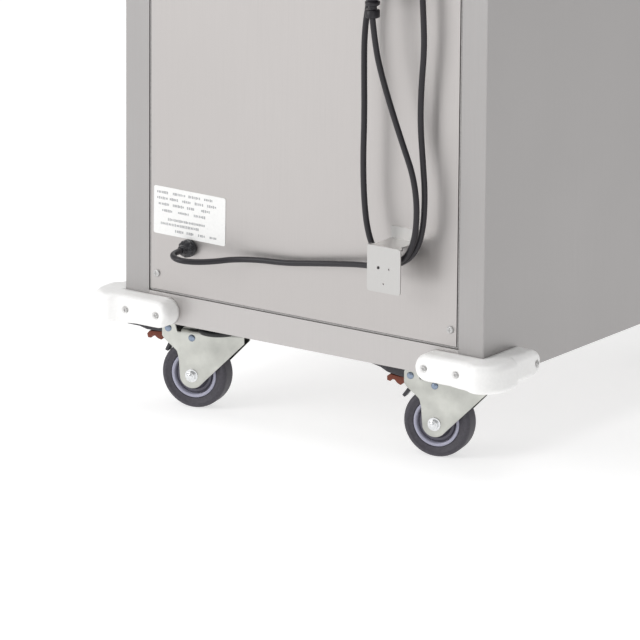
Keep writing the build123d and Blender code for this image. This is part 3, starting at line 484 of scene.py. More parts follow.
def bumper(side, end):
    """Point = base(s) + depth * (sin phi, cos phi), where phi goes from 0 to 90 degrees at the corner.

    Near each end the half height follows a circle, a = sqrt(R^2 - (R - d)^2), so the arm is pill-ended.
    """
    total = BUMPER_REAR_ARM + BUMPER_TURN + BUMPER_SIDE_ARM
    s = total / 2 * (1 - np.cos(np.linspace(0, np.pi, 301)))
    turn = np.clip((s - BUMPER_REAR_ARM) / BUMPER_TURN, 0, 1) * np.pi / 2
    base_x = HALF_WIDTH - np.clip(BUMPER_REAR_ARM - s, 0, None)
    base_y = REAR_Y - np.clip(s - BUMPER_REAR_ARM - BUMPER_TURN, 0, None)
    nose_from, nose_to = BUMPER_REAR_ARM, BUMPER_REAR_ARM + BUMPER_TURN
    fall_away = 1 - smooth_step(s, *(nose_to + at for at in NOSE_END))
    taller = smooth_step(s, *(nose_from + at for at in NOSE_TALL_START)) * fall_away
    deeper = smooth_step(s, *(nose_from + at for at in NOSE_DEEP_START)) * fall_away
    from_end = np.minimum(s, total - s)
    pill = quarter_circle(from_end / BUMPER_HALF_HEIGHT)
    easing = quarter_circle(from_end / BUMPER_EDGE)
    half_height = (BUMPER_HALF_HEIGHT + NOSE_TALLER * taller) * pill
    depth = BUMPER_PROUD + NOSE_DEEPER * deeper - BUMPER_EDGE * (1 - easing)
    middle = RAIL_BOTTOM + BUMPER_MIDDLE - NOSE_DROP * taller
    edge = np.minimum(BUMPER_EDGE, half_height)
    kp, kr, ka, kz = bumper_section()
    q = kp * depth[:, None] + kr * edge[:, None]
    z = middle[:, None] + ka * half_height[:, None] + kz * edge[:, None]
    for at in BUMPER_SCREWS:
        away = np.hypot(s[:, None] - at, z - RAIL_BOTTOM - BUMPER_MIDDLE) / SCREW_DIP_RADIUS
        q = q - (kp > 0.99) * SCREW_DIP * np.exp(-away ** 6)
    x = base_x[:, None] + np.sin(turn)[:, None] * (q + BUMPER_STAND_OFF)
    y = base_y[:, None] + np.cos(turn)[:, None] * (q + BUMPER_STAND_OFF)
    if end < 0:
        y = FRONT_Y + REAR_Y - y
    points = np.stack([side * x, y, z], -1)
    piece = mesh_object("bumper", points, grid_faces(len(s), len(kp), False, True))
    return fix_normals(piece)


bumpers = joined("moulded_bumpers", [bumper(side, end) for side in (1, -1) for end in (1, -1)])
bumpers.data.shade_smooth()
fit(bumpers, bumper_white, "cabinet", "white_bumper", "corner_bumpers")

# %% [markdown]
# ## Wheels
# A wheel is a lathe shape: a thermoplastic tyre with soft shoulders and a fine moulded step, on a
# nylon centre. The pale raised rim between them is what catches the eye, so it is its own ring.

# %% Caster places
JOINTS = {joint["name"]: joint for joint in frame["joints"]}
UPWARDS = np.array([0.0, 0.0, 1.0])


def caster_place(name):
    """Swivel axis, trail direction and axle direction of one caster, and its axle centre."""
    pivot = np.array(JOINTS["swivel_" + name]["pos_m"])
    axle = np.array(JOINTS["roll_" + name]["pos_m"])
    along = np.array([axle[0] - pivot[0], axle[1] - pivot[1], 0.0])
    trail = float(np.linalg.norm(along))
    across = np.array(JOINTS["roll_" + name]["axis"], float)
    return pivot, along / trail, across / np.linalg.norm(across), axle, trail


def on_caster(name, u, v, z):
    """Points from distances in mm along the trail, across it and above the floor."""
    pivot, along, across, _, _ = caster_place(name)
    u, v, z = np.broadcast_arrays(np.asarray(u, float), np.asarray(v, float), np.asarray(z, float))
    foot = np.array([pivot[0], pivot[1], 0.0])
    return foot + MM * (u[..., None] * along + v[..., None] * across + z[..., None] * UPWARDS)


# %% Wheel profiles
# Profiles are (radius, along the axle) in millimetres.
WHEEL_HALF = 16.0
TREAD_RADIUS = 50.0
SHOULDER = 6.0
RIM_RING = [(34.5, 9.0), (34.5, 14.2), (33.9, 15.0), (32.6, 15.3), (30.6, 14.9), (29.6, 13.6), (29.3, 9.0)]
HUB_DISH = [(33.0, 0.0), (33.0, 8.8), (27.4, 8.8), (26.6, 11.2), (25.4, 12.0), (22.6, 12.0), (21.8, 11.0),
            (20.8, 10.2), (13.2, 9.6), (12.2, 10.4), (11.6, 12.0), (11.2, 17.6), (10.4, 18.6), (4.2, 18.6)]


def both_sides(half):
    """Profile points (radius, along) of one side, given from the middle out, and their mirror."""
    half = np.asarray(half, float)
    return np.concatenate([half, half[::-1] * (1, -1)])


def tyre_half():
    """Half the tyre: flat tread, a shoulder that is a quarter circle, and the stepped side wall."""
    w = WHEEL_HALF
    t = np.linspace(0, np.pi / 2, 8)
    shoulder = np.stack([TREAD_RADIUS - SHOULDER + SHOULDER * np.cos(t),
                         w - SHOULDER + SHOULDER * np.sin(t)], -1)
    side = [(43.0, w), (42.4, w - 0.7), (37.0, w - 0.9), (35.6, w - 1.6), (34.6, w - 3.0), (34.6, w - 9)]
    return np.concatenate([[(TREAD_RADIUS, 0.0), (TREAD_RADIUS, 5.0)], shoulder, side])


def wheel(name):
    """Tyre, rim ring and hub of one caster, each a turned profile scaled to metres."""
    _, _, across, axle, _ = caster_place(name)
    body = "wheel_" + name
    tyre = spun("tyre_" + name, both_sides(tyre_half()) * MM, axle, across, 128)
    rings = [spun("rim", np.array(RIM_RING) * (1, sign) * MM, axle, across, 96) for sign in (1, -1)]
    rim = joined("rim_" + name, rings)
    hub = spun("hub_" + name, both_sides(HUB_DISH) * MM, axle, across, 96)
    for piece, angle in ((tyre, 50), (rim, 50), (hub, 40)):
        crisp(piece, angle)
    fit(tyre, tread, body, "tread_rubber", "wheel_tyre_" + name)
    fit(rim, rim_nylon, body, "hub_grey")
    fit(hub, hub_plastic, body, "hub_grey", "wheel_hub_" + name)


for caster in CASTERS:
    wheel(caster)

# %% [markdown]
# ## Caster forks
# The fork is one pressing: a crown folded down into two legs, with a wing in front of each leg that
# turns inwards and ears behind for the pedal. It is a folded sheet, so it is made as a middle
# surface with the bends in it, and then thickened. Flat plates would lose the fold lines.

# %% Fork surface
# Distances are in millimetres: u behind the swivel axis, v across the fork, z above the floor.
SHEET_MM = 2.5
LEG_GAP = 39.0
LEG_MIDDLE = LEG_GAP / 2 + SHEET_MM / 2
LEG_FACE = LEG_MIDDLE + SHEET_MM / 2
CROWN_MIDDLE = 118.0 - SHEET_MM / 2
CROWN_BEND = 5.0
FOLD_U = 8.0
FOLD_SOFTNESS = 1.0
WING_TURN = math.tan(math.radians(11.0))
AXLE_Z = 50.0
FOOT_RADIUS = 19.0
FOOT_RAKE = math.radians(45)
RAKE_SLOPE = 1.036
EAR_END_U = 79.6
EAR_TOP = 126.0
EAR_CORNER = 4.5
REAR_EDGE_U = (51.6, 52.4, 53.2, 56.0, 62.0, 68.0, 76.0, 80.0)
REAR_EDGE_Z = (46.0, 60.0, 72.0, 84.0, 89.5, 94.0, 100.5, 106.0)
LEG_RIVET = (33.0, 106.0)
PEDAL_PIVOT = (70.0, 117.0)
RACE_CUP = [(0.0, 113.0), (29.0, 113.0), (31.5, 116.5), (31.0, 119.0), (28.5, 120.8), (0.0, 121.0)]
RIVET_DOME = [(0.0, 0.0), (5.2, 0.0), (5.1, 0.9), (4.3, 1.9), (2.6, 2.6), (0.0, 2.9)]


def leg_low(u, trail):
    """Lower edge of a leg: a raked straight front, the round foot and the rising rear edge."""
    foot = AXLE_Z - np.sqrt(np.clip(FOOT_RADIUS ** 2 - (u - trail) ** 2, 0, None))
    knee = trail - FOOT_RADIUS * math.sin(FOOT_RAKE)
    rake = AXLE_Z - FOOT_RADIUS * math.cos(FOOT_RAKE) + (knee - u) * RAKE_SLOPE
    rear = np.interp(u, REAR_EDGE_U, REAR_EDGE_Z)
    return np.where(u < knee, rake, np.where(u < REAR_EDGE_U[0], foot, rear))


def fork_saddle(name):
    """Columns run up one leg, round a bend, over the crown and down the other leg.

    Half width = leg - turn * softened (fold - u), so the wings close in smoothly ahead of the fold.
    """
    trail = caster_place(name)[4] / MM
    u = np.concatenate([np.linspace(-44, 8, 20), np.linspace(9, 15, 7), np.linspace(16.5, 50, 30)])
    ahead = FOLD_U - u
    half = (LEG_MIDDLE - WING_TURN * 0.5 * (ahead + np.sqrt(ahead ** 2 + FOLD_SOFTNESS)))[:, None]
    bend = CROWN_BEND
    low = leg_low(u, trail)[:, None]
    f = np.linspace(0, 1, 14)[:-1]
    arc = np.linspace(0, np.pi / 2, 7)
    g = np.linspace(-1, 1, 12)[1:-1]
    rise = CROWN_MIDDLE - bend - low
    leg_z = low + f * rise
    leg_v = -half + 0 * leg_z
    arc_z = CROWN_MIDDLE - bend + bend * np.sin(arc) + 0 * rise
    arc_v = -half + bend - bend * np.cos(arc)
    top_v = (half - bend) * g
    top_z = CROWN_MIDDLE + 0 * top_v
    v = np.concatenate([leg_v, arc_v, top_v, -arc_v[:, ::-1], -leg_v], 1)
    z = np.concatenate([leg_z, arc_z, top_z, arc_z[:, ::-1], leg_z[:, ::-1]], 1)
    points = on_caster(name, u[:, None] + 0 * v, v, z)
    return thicken(mesh_object("saddle", points, grid_faces(*v.shape)), SHEET_MM * MM)


def fork_ears(name, braked):
    """Flat continuation of both legs behind the crown, up to the pedal pivot where there is one."""
    trail = caster_place(name)[4] / MM
    u = np.linspace(49.6, EAR_END_U if braked else 58.0, 26)
    low = leg_low(u, trail)
    crown = CROWN_MIDDLE - 3.5
    into_corner = np.clip(u - EAR_END_U + EAR_CORNER, 0, EAR_CORNER)
    drop = EAR_CORNER - np.sqrt(np.clip(EAR_CORNER ** 2 - into_corner ** 2, 0, None))
    high = np.interp(u, (56.0, 60.0), (crown, EAR_TOP)) - drop if braked else crown + 0 * u
    t = np.linspace(0, 1, 12)
    z = low[:, None] + t * (high - low)[:, None]
    ears = []
    for side in (1, -1):
        points = on_caster(name, u[:, None] + 0 * z, side * LEG_MIDDLE, z)
        ears.append(thicken(mesh_object("ear", points, grid_faces(*z.shape)), SHEET_MM * MM))
    return ears


def paint_inside_shade(piece, name):
    """Painted shade: a dark second material on faces that look across the fork towards the wheel.

    A face is inside when its normal and its place are on opposite sides of the caster's middle.
    """
    pivot, _, across, _, _ = caster_place(name)
    count = len(piece.data.polygons)
    normals = np.empty(count * 3)
    centres = np.empty(count * 3)
    piece.data.polygons.foreach_get("normal", normals)
    piece.data.polygons.foreach_get("center", centres)
    facing = normals.reshape(-1, 3) @ across
    place = (centres.reshape(-1, 3) - pivot * (1, 1, 0)) @ across
    inside = (facing * place < 0) & (np.abs(facing) > 0.5)
    piece.data.materials.append(zinc_painted_shade)
    piece.data.polygons.foreach_set("material_index", inside.astype(int))
    return int(inside.sum())


def turned_at(name, label, profile, u, v, z, direction, segments=48):
    """Turned piece about a line along the axle (direction 1 or -1) through a place on a caster."""
    across = caster_place(name)[2]
    profile = np.asarray(profile, float) * MM
    return spun(label, profile, on_caster(name, u, v, z), direction * across, segments)


def fork(name, braked):
    """Pressed fork with its ears, the race cup on the crown, and rivets as a second piece."""
    body = "caster_" + name
    whole = joined("fork_" + name, [fork_saddle(name), *fork_ears(name, braked)])
    crisp(whole, 35)
    fit(whole, zinc, body, "zinc_plate", "caster_fork_" + name)
    print("faces in painted shade", paint_inside_shade(whole, name))
    pivot = caster_place(name)[0]
    # The race cup is black as painted shade for the gap under the base
    race = spun("race_cup_" + name, np.array(RACE_CUP) * MM, (pivot[0], pivot[1], 0.0), (0, 0, 1), 72)
    fit(race, race_painted_shade, body, "black_rubber")
    places = [LEG_RIVET, PEDAL_PIVOT] if braked else [LEG_RIVET]
    proud = LEG_FACE - 0.1
    heads = [turned_at(name, "rivet", RIVET_DOME, u, side * proud, z, side)
             for side in (1, -1) for u, z in places]
    rivets = joined("rivets_" + name, heads)
    rivets.data.shade_smooth()
    fit(rivets, blued, body, "bright_bolt")


for caster in CASTERS:
    fork(caster, caster.startswith("rear"))

# %% [markdown]
# ## Axle nuts
# The axle ends in a washer and a hexagon nut on each side. A hexagon is a circle whose radius is
# divided by the cosine of the angle from the nearest flat, and its chamfer is a cone that trims it.

# %% Axle nuts
# Profiles are (radius, height) in millimetres.
WASHER = np.array([(0.0, 0.0), (9.6, 0.0), (9.9, 0.3), (9.7, 1.2), (8.8, 1.4)])
NUT_FLAT = 6.4                     # from the axis to a flat
NUT_LEVELS = np.array([1.4, 2.0, 5.2, 6.0, 6.4])
NUT_CONE = np.array([7.0, 7.6, 7.5, 6.5, 5.6])
BOLT_END = np.array([(4.2, 6.4), (4.2, 7.6), (3.4, 8.2), (1.8, 8.5), (0.0, 8.6)])


def hexagon_nut(name, side):
    """Nut: radius = min(flat / cos(angle from flat), chamfer cone), with a domed bolt end on top."""
    _, along, across, axle, _ = caster_place(name)
    theta = np.linspace(0, 2 * np.pi, 73)[:-1, None]
    from_flat = (theta + np.pi / 6) % (np.pi / 3) - np.pi / 6
    nut = np.minimum(NUT_FLAT / np.cos(from_flat), NUT_CONE)
    radius = np.concatenate([WASHER[:, 0] + 0 * theta, nut, BOLT_END[:, 0] + 0 * theta], 1)
    height = LEG_FACE + np.concatenate([WASHER[:, 1], NUT_LEVELS, BOLT_END[:, 1]])
    ring = np.cos(theta) * along + np.sin(theta) * UPWARDS
    outwards = side * height[None, :, None] * MM * across
    points = axle + outwards + radius[..., None] * MM * ring[:, None, :]
    piece = mesh_object("nut", points, grid_faces(len(theta), len(height), True, False))
    return fix_normals(piece)


for caster in CASTERS:
    nuts = joined("axle_nuts_" + caster, [hexagon_nut(caster, 1), hexagon_nut(caster, -1)])
    crisp(nuts, 28)
    fit(nuts, bright, "caster_" + caster, "bright_bolt", "axle_bolt_" + caster)

# %% [markdown]
# ## Brake pedals
# A pedal is a black pressed lever, wide at its pivot and tapered to the toe, with a few grip ribs.
# Under it sit the red release cam and a small brake tongue that reaches down behind the tyre. The
# left one is pressed, so its outline is turned about the pivot before it is placed.

# %% Pedals
PEDAL_DOWN = {"rear_left": math.radians(10.7), "rear_right": 0.0}
RIB_PITCH = 5.0
RIB_HEIGHT = 0.8
CAM_OUTLINE = [(78, 111), (79, 104.5), (84, 101.5), (88, 98.6), (93, 101.2), (97, 105.6), (100.6, 106),
               (103.5, 102.8), (108.4, 104), (108.6, 110), (104, 113.6), (98, 112.6), (90, 111.4)]
TONGUE_OUTLINE = [(73, 96), (77.5, 97.5), (88.5, 82.5), (84.5, 79.5)]
LINK_OUTLINE = [(66, 112), (74, 114), (80, 96), (75, 94)]


def tipped(points, angle):
    """Outline points (along, up) turned down about the pedal's pivot by an angle."""
    away = np.asarray(points, float) - PEDAL_PIVOT
    turned = np.stack([away[..., 0] * math.cos(angle) + away[..., 1] * math.sin(angle),
                       away[..., 1] * math.cos(angle) - away[..., 0] * math.sin(angle)], -1)
    return turned + PEDAL_PIVOT


def superellipse(count, power):
    """Cosine and sine round a loop, raised to a power that squares the circle off."""
    t = np.linspace(0, 2 * np.pi, count + 1)[:-1]
    c, s = np.cos(t), np.sin(t)
    return np.sign(c) * np.abs(c) ** power, np.sign(s) * np.abs(s) ** power


def lever(name):
    """Loft along the pedal: half width tapers, and each section is a rounded rectangle.

    Grip ribs add height * |cos(pi (u - 110) / pitch)| to the top near the toe.
    """
    u = np.concatenate([np.linspace(61.5, 64, 6), np.linspace(65, 139, 75), np.linspace(139.5, 142.5, 8)])
    top = np.interp(u, (61.5, 64, 84, 118, 141, 142.5), (119, 122, 125.5, 127.5, 128.6, 127.6))
    low = np.interp(u, (61.5, 64, 74, 86, 106, 118, 142.5), (114, 112.6, 110.8, 111.6, 116, 121.5, 126.4))
    ribbed = smooth_step(u, 108, 112) * (1 - smooth_step(u, 136, 139))
    ribs = RIB_HEIGHT * np.abs(np.cos((u - 110) * np.pi / RIB_PITCH)) * ribbed
    half = np.interp(u, (61.5, 108, 139, 142.5), (17.6, 17.6, 9.6, 7.0))
    cv, cz = superellipse(40, 0.22)
    middle, tall = (top + low) / 2, (top - low) / 2
    z = middle[:, None] + tall[:, None] * cz + ribs[:, None] * (cz > 0.5)
    v = half[:, None] * cv
    place = tipped(np.stack([u[:, None] + 0 * v, z], -1), PEDAL_DOWN[name])
    points = on_caster(name, place[..., 0], v, place[..., 1])
    rows, columns = v.shape
    ends = [list(range(columns)), list(range((rows - 1) * columns, rows * columns))]
    return fix_normals(mesh_object("lever", points, grid_faces(rows, columns, False, True) + ends))


def slab(name, outline, half, radius=0.8, bevel=0.0004):
    """Outline in (along, up) with rounded corners, pushed across the caster from -half to half."""
    edge = tipped(rounded(outline, radius, 5), PEDAL_DOWN.get(name, 0.0))
    count = len(edge)
    sides = np.stack([on_caster(name, edge[:, 0], v, edge[:, 1]) for v in (-half, half)])
    faces = [[k, (k + 1) % count, count + (k + 1) % count, count + k] for k in range(count)]
    faces += [list(range(count)), list(range(count, 2 * count))]
    piece = fix_normals(mesh_object("slab", sides, faces))
    ease_edges(piece, bevel)
    return settle(piece)


for caster in PEDAL_DOWN:
    parts = [lever(caster), slab(caster, TONGUE_OUTLINE, 6.5, 1.2), slab(caster, LINK_OUTLINE, 5.0, 1.0)]
    pedal = joined("pedal_lever_" + caster, parts)
    crisp(pedal, 40)
    fit(pedal, pedal_paint, "pedal_" + caster, "pedal_black", "brake_pedal_" + caster)
    cam = slab(caster, CAM_OUTLINE, 14.5, 1.4, 0.0008)
    cam.name = "release_cam_" + caster
    fit(cam, cam_nylon, "pedal_" + caster, "cam_red", "brake_cam_" + caster)

# %% [markdown]
# ## Cable gland
# The lead comes out through a glossy black gland: a round shouldered body, a domed cap with
# moulded ribs round it, and a soft neck that closes on the cord. It is turned about the lead's own
# line, and the ribs are a cosine round the axis.

# %% Gland
GLAND_ALONG = (0.1, 0.4, 1.2, 4.2, 5.0, 5.6, 6.2, 7.0, 9.0, 11.5,
               13.5, 14.6, 15.2, 16.2, 18.0, 20.0, 21.4, 22.0, 22.0)
GLAND_RADIUS = (0.0, 12.2, 12.8, 12.8, 12.2, 11.0, 10.9, 11.6, 12.0, 11.4,
                9.8, 8.4, 7.8, 7.7, 7.3, 6.6, 6.2, 5.4, 0.0)
GLAND_RIBS = 12
RIB_DEPTH = 0.07


def gland():
    """Radius(along, angle) = profile * (1 + depth * |cos(ribs * angle / 2)|), ribs on the cap only."""
    low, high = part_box("cable_gland")
    index = np.arange(len(GLAND_ALONG))
    fine = np.linspace(0, index[-1], 90)
    along = np.interp(fine, index, GLAND_ALONG)
    radius = np.interp(fine, index, GLAND_RADIUS)
    theta = np.linspace(0, 2 * np.pi, 145)[:-1, None]
    on_cap = smooth_step(along, 6.4, 8.0) * (1 - smooth_step(along, 11.0, 14.0))
    r = radius * (1 + RIB_DEPTH * on_cap * np.abs(np.cos(GLAND_RIBS / 2 * theta))) * MM
    x = (low.x + high.x) / 2 + r * np.cos(theta)
    z = (low.z + high.z) / 2 + r * np.sin(theta)
    y = REAR_Y + along * MM + 0 * r
    points = np.stack([x, y, z], -1)
    return fix_normals(mesh_object("ribbed_gland", points, grid_faces(len(theta), len(along), True, False)))


ribbed = gland()
crisp(ribbed, 50)
fit(ribbed, gland_gloss, "cabinet", "black_rubber", "cable_gland")

# %% [markdown]
# ## Painted shade bead in the cover's groove
# Round the rear cover runs a groove a few millimetres wide. A grey bead nearly fills it as painted shade,
# so the joint reads as a soft grey line. It is a small circle carried round a rounded rectangle.

# %% Painted shade bead
BEAD_RADIUS = 1.7 * MM
BEAD_INSET = 2.0 * MM
BEAD_DEPTH = 2.5 * MM


def groove_shade_bead():
    """Point = loop + radius * (cos t * outward + sin t * rearward), outward worked out on the loop."""
    low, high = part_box("rear_cover")
    left, right = low.x - BEAD_INSET, high.x + BEAD_INSET
    bottom, top = low.z - BEAD_INSET, high.z + BEAD_INSET
    loop = rounded([(left, bottom), (right, bottom), (right, top), (left, top)], 3 * MM, 8)
    ahead = np.roll(loop, -1, 0) - np.roll(loop, 1, 0)
    ahead /= np.linalg.norm(ahead, axis=1)[:, None]
    outward = np.stack([ahead[:, 1], -ahead[:, 0]], -1)
    t = np.linspace(0, 2 * np.pi, 13)[:-1]
    flat = loop[:, None, :] + BEAD_RADIUS * np.cos(t)[None, :, None] * outward[:, None, :]
    y = REAR_Y - BEAD_DEPTH + BEAD_RADIUS * np.sin(t) + 0 * flat[..., 0]
    points = np.stack([flat[..., 0], y, flat[..., 1]], -1)
    return fix_normals(mesh_object("groove_bead", points, grid_faces(len(loop), len(t), True, True)))


fit(groove_shade_bead(), groove_shade_grey, "cabinet", "black_rubber")

# %% [markdown]
# ## Rating label
# The label is a white film with rows of small grey marks. They stand for print and say nothing: each
# row is a few bars of uneven length, drawn from a seeded list, raised by a hair.

# %% Label marks
# Each row: share of the height down, where it starts and ends across the width, number of groups.
LABEL_ROWS = ((0.12, 0.05, 0.92, 4), (0.24, 0.05, 0.92, 5), (0.36, 0.07, 0.86, 4), (0.49, 0.12, 0.78, 3),
              (0.66, 0.20, 0.84, 1), (0.76, 0.10, 0.90, 1), (0.88, 0.30, 0.94, 4))
BARS_PER_WIDTH = 46
PRINT_PROUD = 0.05 * MM


def label_marks():
    """Row k holds bars at seeded places; each bar is a flat quad just above the film."""
    rng = np.random.default_rng(7)
    low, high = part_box("rating_plate")
    quads = []
    for down, start, end, groups in LABEL_ROWS:
        step = (end - start) / groups
        lefts = np.linspace(start, end, groups + 1)[:-1]
        for group_left, share in zip(lefts, rng.uniform(0.5, 0.86, groups)):
            bars = max(1, int(step * share * BARS_PER_WIDTH))
            left = group_left + np.arange(bars) * step * share / bars
            wide = step * share / bars * rng.uniform(0.55, 0.9, bars)
            tall = rng.uniform(0.018, 0.030, bars)
            quads.append(np.stack([left, left + wide, down - tall, down + tall], -1))
    left, right, upper, lower = np.concatenate(quads).T
    x = high.x - np.stack([left, right, right, left], -1) * (high.x - low.x)
    z = high.z - np.stack([lower, lower, upper, upper], -1) * (high.z - low.z)
    y = np.full_like(x, high.y + PRINT_PROUD)
    faces = np.arange(x.size).reshape(-1, 4).tolist()
    return mesh_object("label_marks", np.stack([x, y, z], -1), faces, smooth=False)


marks = label_marks()
fit(marks, print_grey, "cabinet", "label_film")

# %% [markdown]
# ## Plug and its tie
# The plug's tail is turned, with the two thick collars that spread a bend. Its body is a soft oblong
# whose section is a superellipse, fuller in the middle. A woven strap ties it to the cord beside it.

# %% Plug
# Profiles are (radius, height above the cord's end) in millimetres.
PLUG_TAIL = [(0.0, 0.2), (9.0, 0.2), (10.4, 1.4), (10.4, 10.2), (9.2, 11.4), (6.6, 11.8), (6.2, 13.0),
             (6.2, 16.4), (6.8, 17.4), (9.4, 17.8), (10.4, 18.8), (10.4, 22.4), (9.2, 23.6), (7.0, 24.2),
             (7.4, 27.0), (8.0, 33.0), (0.0, 33.0)]
PLUG_PIN = [(0.0, 65.0), (2.4, 65.0), (2.4, 80.4), (1.9, 81.4), (0.0, 81.8)]
PIN_OFFSET = 8 * MM
BODY_HALF_X = 15.8 * MM
BODY_HALF_Y = 10.8 * MM
BODY_MIDDLE = 48.0
BODY_HALF_HEIGHT = 18.0


def plug_pieces(x, y, z):
    """Turned tail; a body of superellipse sections shrunk to points at both ends; two round pins."""
    tail = spun("tail", np.array(PLUG_TAIL) * MM, (x, y, z), (0, 0, 1), 64)
    h = np.linspace(-1, 1, 41)
    shrink = (1 - np.abs(h) ** 5) ** 0.28
    shrink[[0, -1]] = 0.0
    waist = 1 - 0.12 * smooth_step(-h, -0.2, 0.9)
    width = (shrink * waist)[:, None]
    cx, cy = superellipse(64, 0.55)
    height = z + (BODY_MIDDLE + BODY_HALF_HEIGHT * h)[:, None] * MM + 0 * cx
    points = np.stack([x + BODY_HALF_X * width * cx, y + BODY_HALF_Y * width * cy, height], -1)
    body = fix_normals(mesh_object("body", points, grid_faces(len(h), len(cx), False, True)))
    pin = np.array(PLUG_PIN) * MM
    pins = [spun("pin", pin, (x + offset, y, z), (0, 0, 1), 32) for offset in (-PIN_OFFSET, PIN_OFFSET)]
    return joined("plug_moulding", [tail, body]), joined("plug_pins", pins)


def tie(x, y, z):
    """Band 13.6 mm high round a rounded rectangle that holds the plug and the cord."""
    left, right, front, back = x - 18 * MM, x + 26 * MM, y - 35 * MM, y + 13 * MM
    loop = rounded([(left, front), (right, front), (right, back), (left, back)], 9 * MM, 12)
    heights = np.linspace(z + 42.2 * MM, z + 55.8 * MM, 8)
    rings = np.repeat(loop[:, None, :], len(heights), 1)
    levels = np.broadcast_to(heights[None, :, None], (len(loop), len(heights), 1))
    faces = grid_faces(len(loop), len(heights), True, False)
    band = mesh_object("tie_band", np.concatenate([rings, levels], 2), faces)
    return thicken(band, 1.6 * MM, 0.0003)


# %% [markdown]
# ## Supply cord
# The lead leaves its gland, runs along the bottom of the cover and is wound on two hooks. It is one
# smooth NURBS curve through a short route, so it bends as a stiff rubber lead does. A
# chain of arcs or a sampled path would look like bent wire.

# %% Supply cord
CORD_DIAMETER = 0.0085
CORD_ROUTE = [            # x, stand-off from the rear cover, height above the floor, in metres
    (0.196, 0.022, 0.258), (0.196, 0.036, 0.258), (0.190, 0.050, 0.257), (0.174, 0.057, 0.255),
    (0.154, 0.050, 0.254), (0.131, 0.034, 0.255), (0.104, 0.020, 0.260), (0.064, 0.013, 0.264),
    (0.020, 0.012, 0.266), (-0.030, 0.013, 0.274), (-0.076, 0.015, 0.281), (-0.112, 0.020, 0.287),
    (-0.146, 0.024, 0.290), (-0.180, 0.025, 0.297), (-0.208, 0.025, 0.316), (-0.222, 0.024, 0.349),
    (-0.224, 0.022, 0.402), (-0.218, 0.020, 0.452), (-0.213, 0.020, 0.505), (-0.215, 0.021, 0.560),
    (-0.220, 0.022, 0.612), (-0.218, 0.023, 0.664), (-0.215, 0.024, 0.716), (-0.212, 0.025, 0.754),
    (-0.202, 0.026, 0.782), (-0.176, 0.026, 0.794), (-0.150, 0.025, 0.781), (-0.141, 0.023, 0.752),
    (-0.134, 0.020, 0.712), (-0.125, 0.020, 0.668), (-0.119, 0.022, 0.620), (-0.122, 0.026, 0.565),
    (-0.126, 0.030, 0.505), (-0.125, 0.031, 0.438), (-0.127, 0.030, 0.380), (-0.134, 0.031, 0.340),
    (-0.148, 0.033, 0.313), (-0.173, 0.036, 0.302), (-0.202, 0.037, 0.311), (-0.217, 0.036, 0.340),
    (-0.220, 0.035, 0.386), (-0.213, 0.035, 0.432), (-0.195, 0.036, 0.475), (-0.178, 0.038, 0.520),
    (-0.163, 0.041, 0.566), (-0.153, 0.044, 0.608), (-0.149, 0.046, 0.650),
]


def supply_cord():
    """Round lead along the route's NURBS spline, which starts and ends on its end points."""
    curve = bpy.data.curves.new("supply_cord", "CURVE")
    curve.dimensions = "3D"
    curve.bevel_depth = CORD_DIAMETER / 2
    curve.bevel_resolution = 8
    curve.resolution_u = 10
    curve.use_fill_caps = True
    spline = curve.splines.new("NURBS")
    spline.points.add(len(CORD_ROUTE) - 1)
    for point, (x, off, z) in zip(spline.points, CORD_ROUTE):
        point.co = (x, REAR_Y + off, z, 1.0)
    spline.order_u = 3
    spline.use_endpoint_u = True
    cord = bpy.data.objects.new("supply_cord", curve)
    bpy.context.scene.collection.objects.link(cord)
    cord.data.materials.append(sheath)
    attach(cord, "cabinet")
    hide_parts("power_cord")
    return cord


cord = supply_cord()
plug_x, plug_off, plug_z = CORD_ROUTE[-1]
plug_body, plug_pins = plug_pieces(plug_x, REAR_Y + plug_off, plug_z)
crisp(plug_body, 45)
crisp(plug_pins, 45)
fit(plug_body, sheath, "cabinet", "cord_sheath", "plug")
fit(plug_pins, bright, "cabinet", "bright_bolt")
strap = fit(tie(plug_x, REAR_Y + plug_off, plug_z), strap_cloth, "cabinet", "strap_cloth", "tie_strap")

# %% [markdown]
# ## Floor and light
# A plain white studio: a wide pale floor that glows a little, so that shadows on it stay soft, and
# three soft area lights. The key stands to the left of the view. The surround is dimmer on the right,
# which lets the side panel fall into grey.

# %% Surround
SURROUND = 0.60


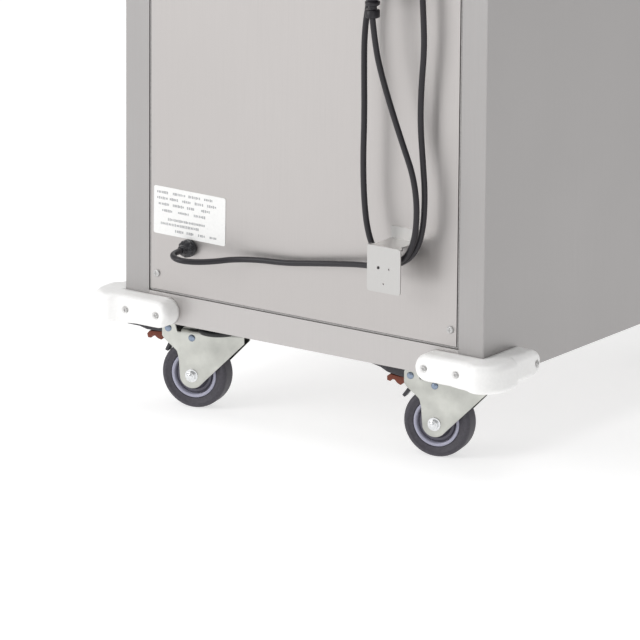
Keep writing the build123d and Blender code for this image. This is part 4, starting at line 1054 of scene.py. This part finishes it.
def surround():
    """World whose brightness rises along X from 0.45 to 1 times its strength."""
    world = bpy.data.worlds.new("surround")
    bpy.context.scene.world = world
    world.use_nodes = True
    tree = world.node_tree
    background = tree.nodes["Background"]
    coords = tree.nodes.new("ShaderNodeTexCoord")
    split = tree.nodes.new("ShaderNodeSeparateXYZ")
    tree.links.new(coords.outputs["Generated"], split.inputs["Vector"])
    shade = add_range(tree, split.outputs["X"], 0.45, 1.0, -0.9, 0.1)
    blend = tree.nodes.new("ShaderNodeCombineColor")
    for socket in ("Red", "Green", "Blue"):
        tree.links.new(shade, blend.inputs[socket])
    tree.links.new(blend.outputs["Color"], background.inputs["Color"])
    background.inputs["Strength"].default_value = SURROUND


# %% Floor and lights
FLOOR_HALF = 40.0
LIGHTS = (("key", (2.6, 4.2, 2.6), 2.4, 84.0), ("fill", (-3.0, 3.6, 1.6), 2.5, 15.0),
          ("top", (0.0, 0.5, 5.0), 4.0, 74.0))     # name, place, width, watts
LIGHT_AIM = Vector((0.0, 0.3, 0.5))


def studio_floor():
    """One wide quad."""
    r = FLOOR_HALF
    corners = [(-r, -r, 0), (r, -r, 0), (r, r, 0), (-r, r, 0)]
    floor = mesh_object("floor", corners, [[0, 1, 2, 3]], smooth=False)
    paint = speckled("studio floor", (0.56, 0.56, 0.56), 0.8, 0.0, 0.6, 0.01, 0.0,
                     Emission_Color=(1.0, 1.0, 1.0, 1.0), Emission_Strength=0.62)
    floor.data.materials.append(paint)


def area_light(name, place, width, power):
    """Square soft light that faces the cabinet."""
    data = bpy.data.lights.new(name, "AREA")
    data.size = width
    data.energy = power
    light = bpy.data.objects.new(name, data)
    bpy.context.scene.collection.objects.link(light)
    aim = LIGHT_AIM - Vector(place)
    light.matrix_world = Matrix.Translation(place) @ aim.to_track_quat("-Z", "Y").to_matrix().to_4x4()


studio_floor()
surround()
for light_row in LIGHTS:
    area_light(*light_row)
bpy.context.scene.view_settings.view_transform = "Standard"
print("lights:", [row[0] for row in LIGHTS])
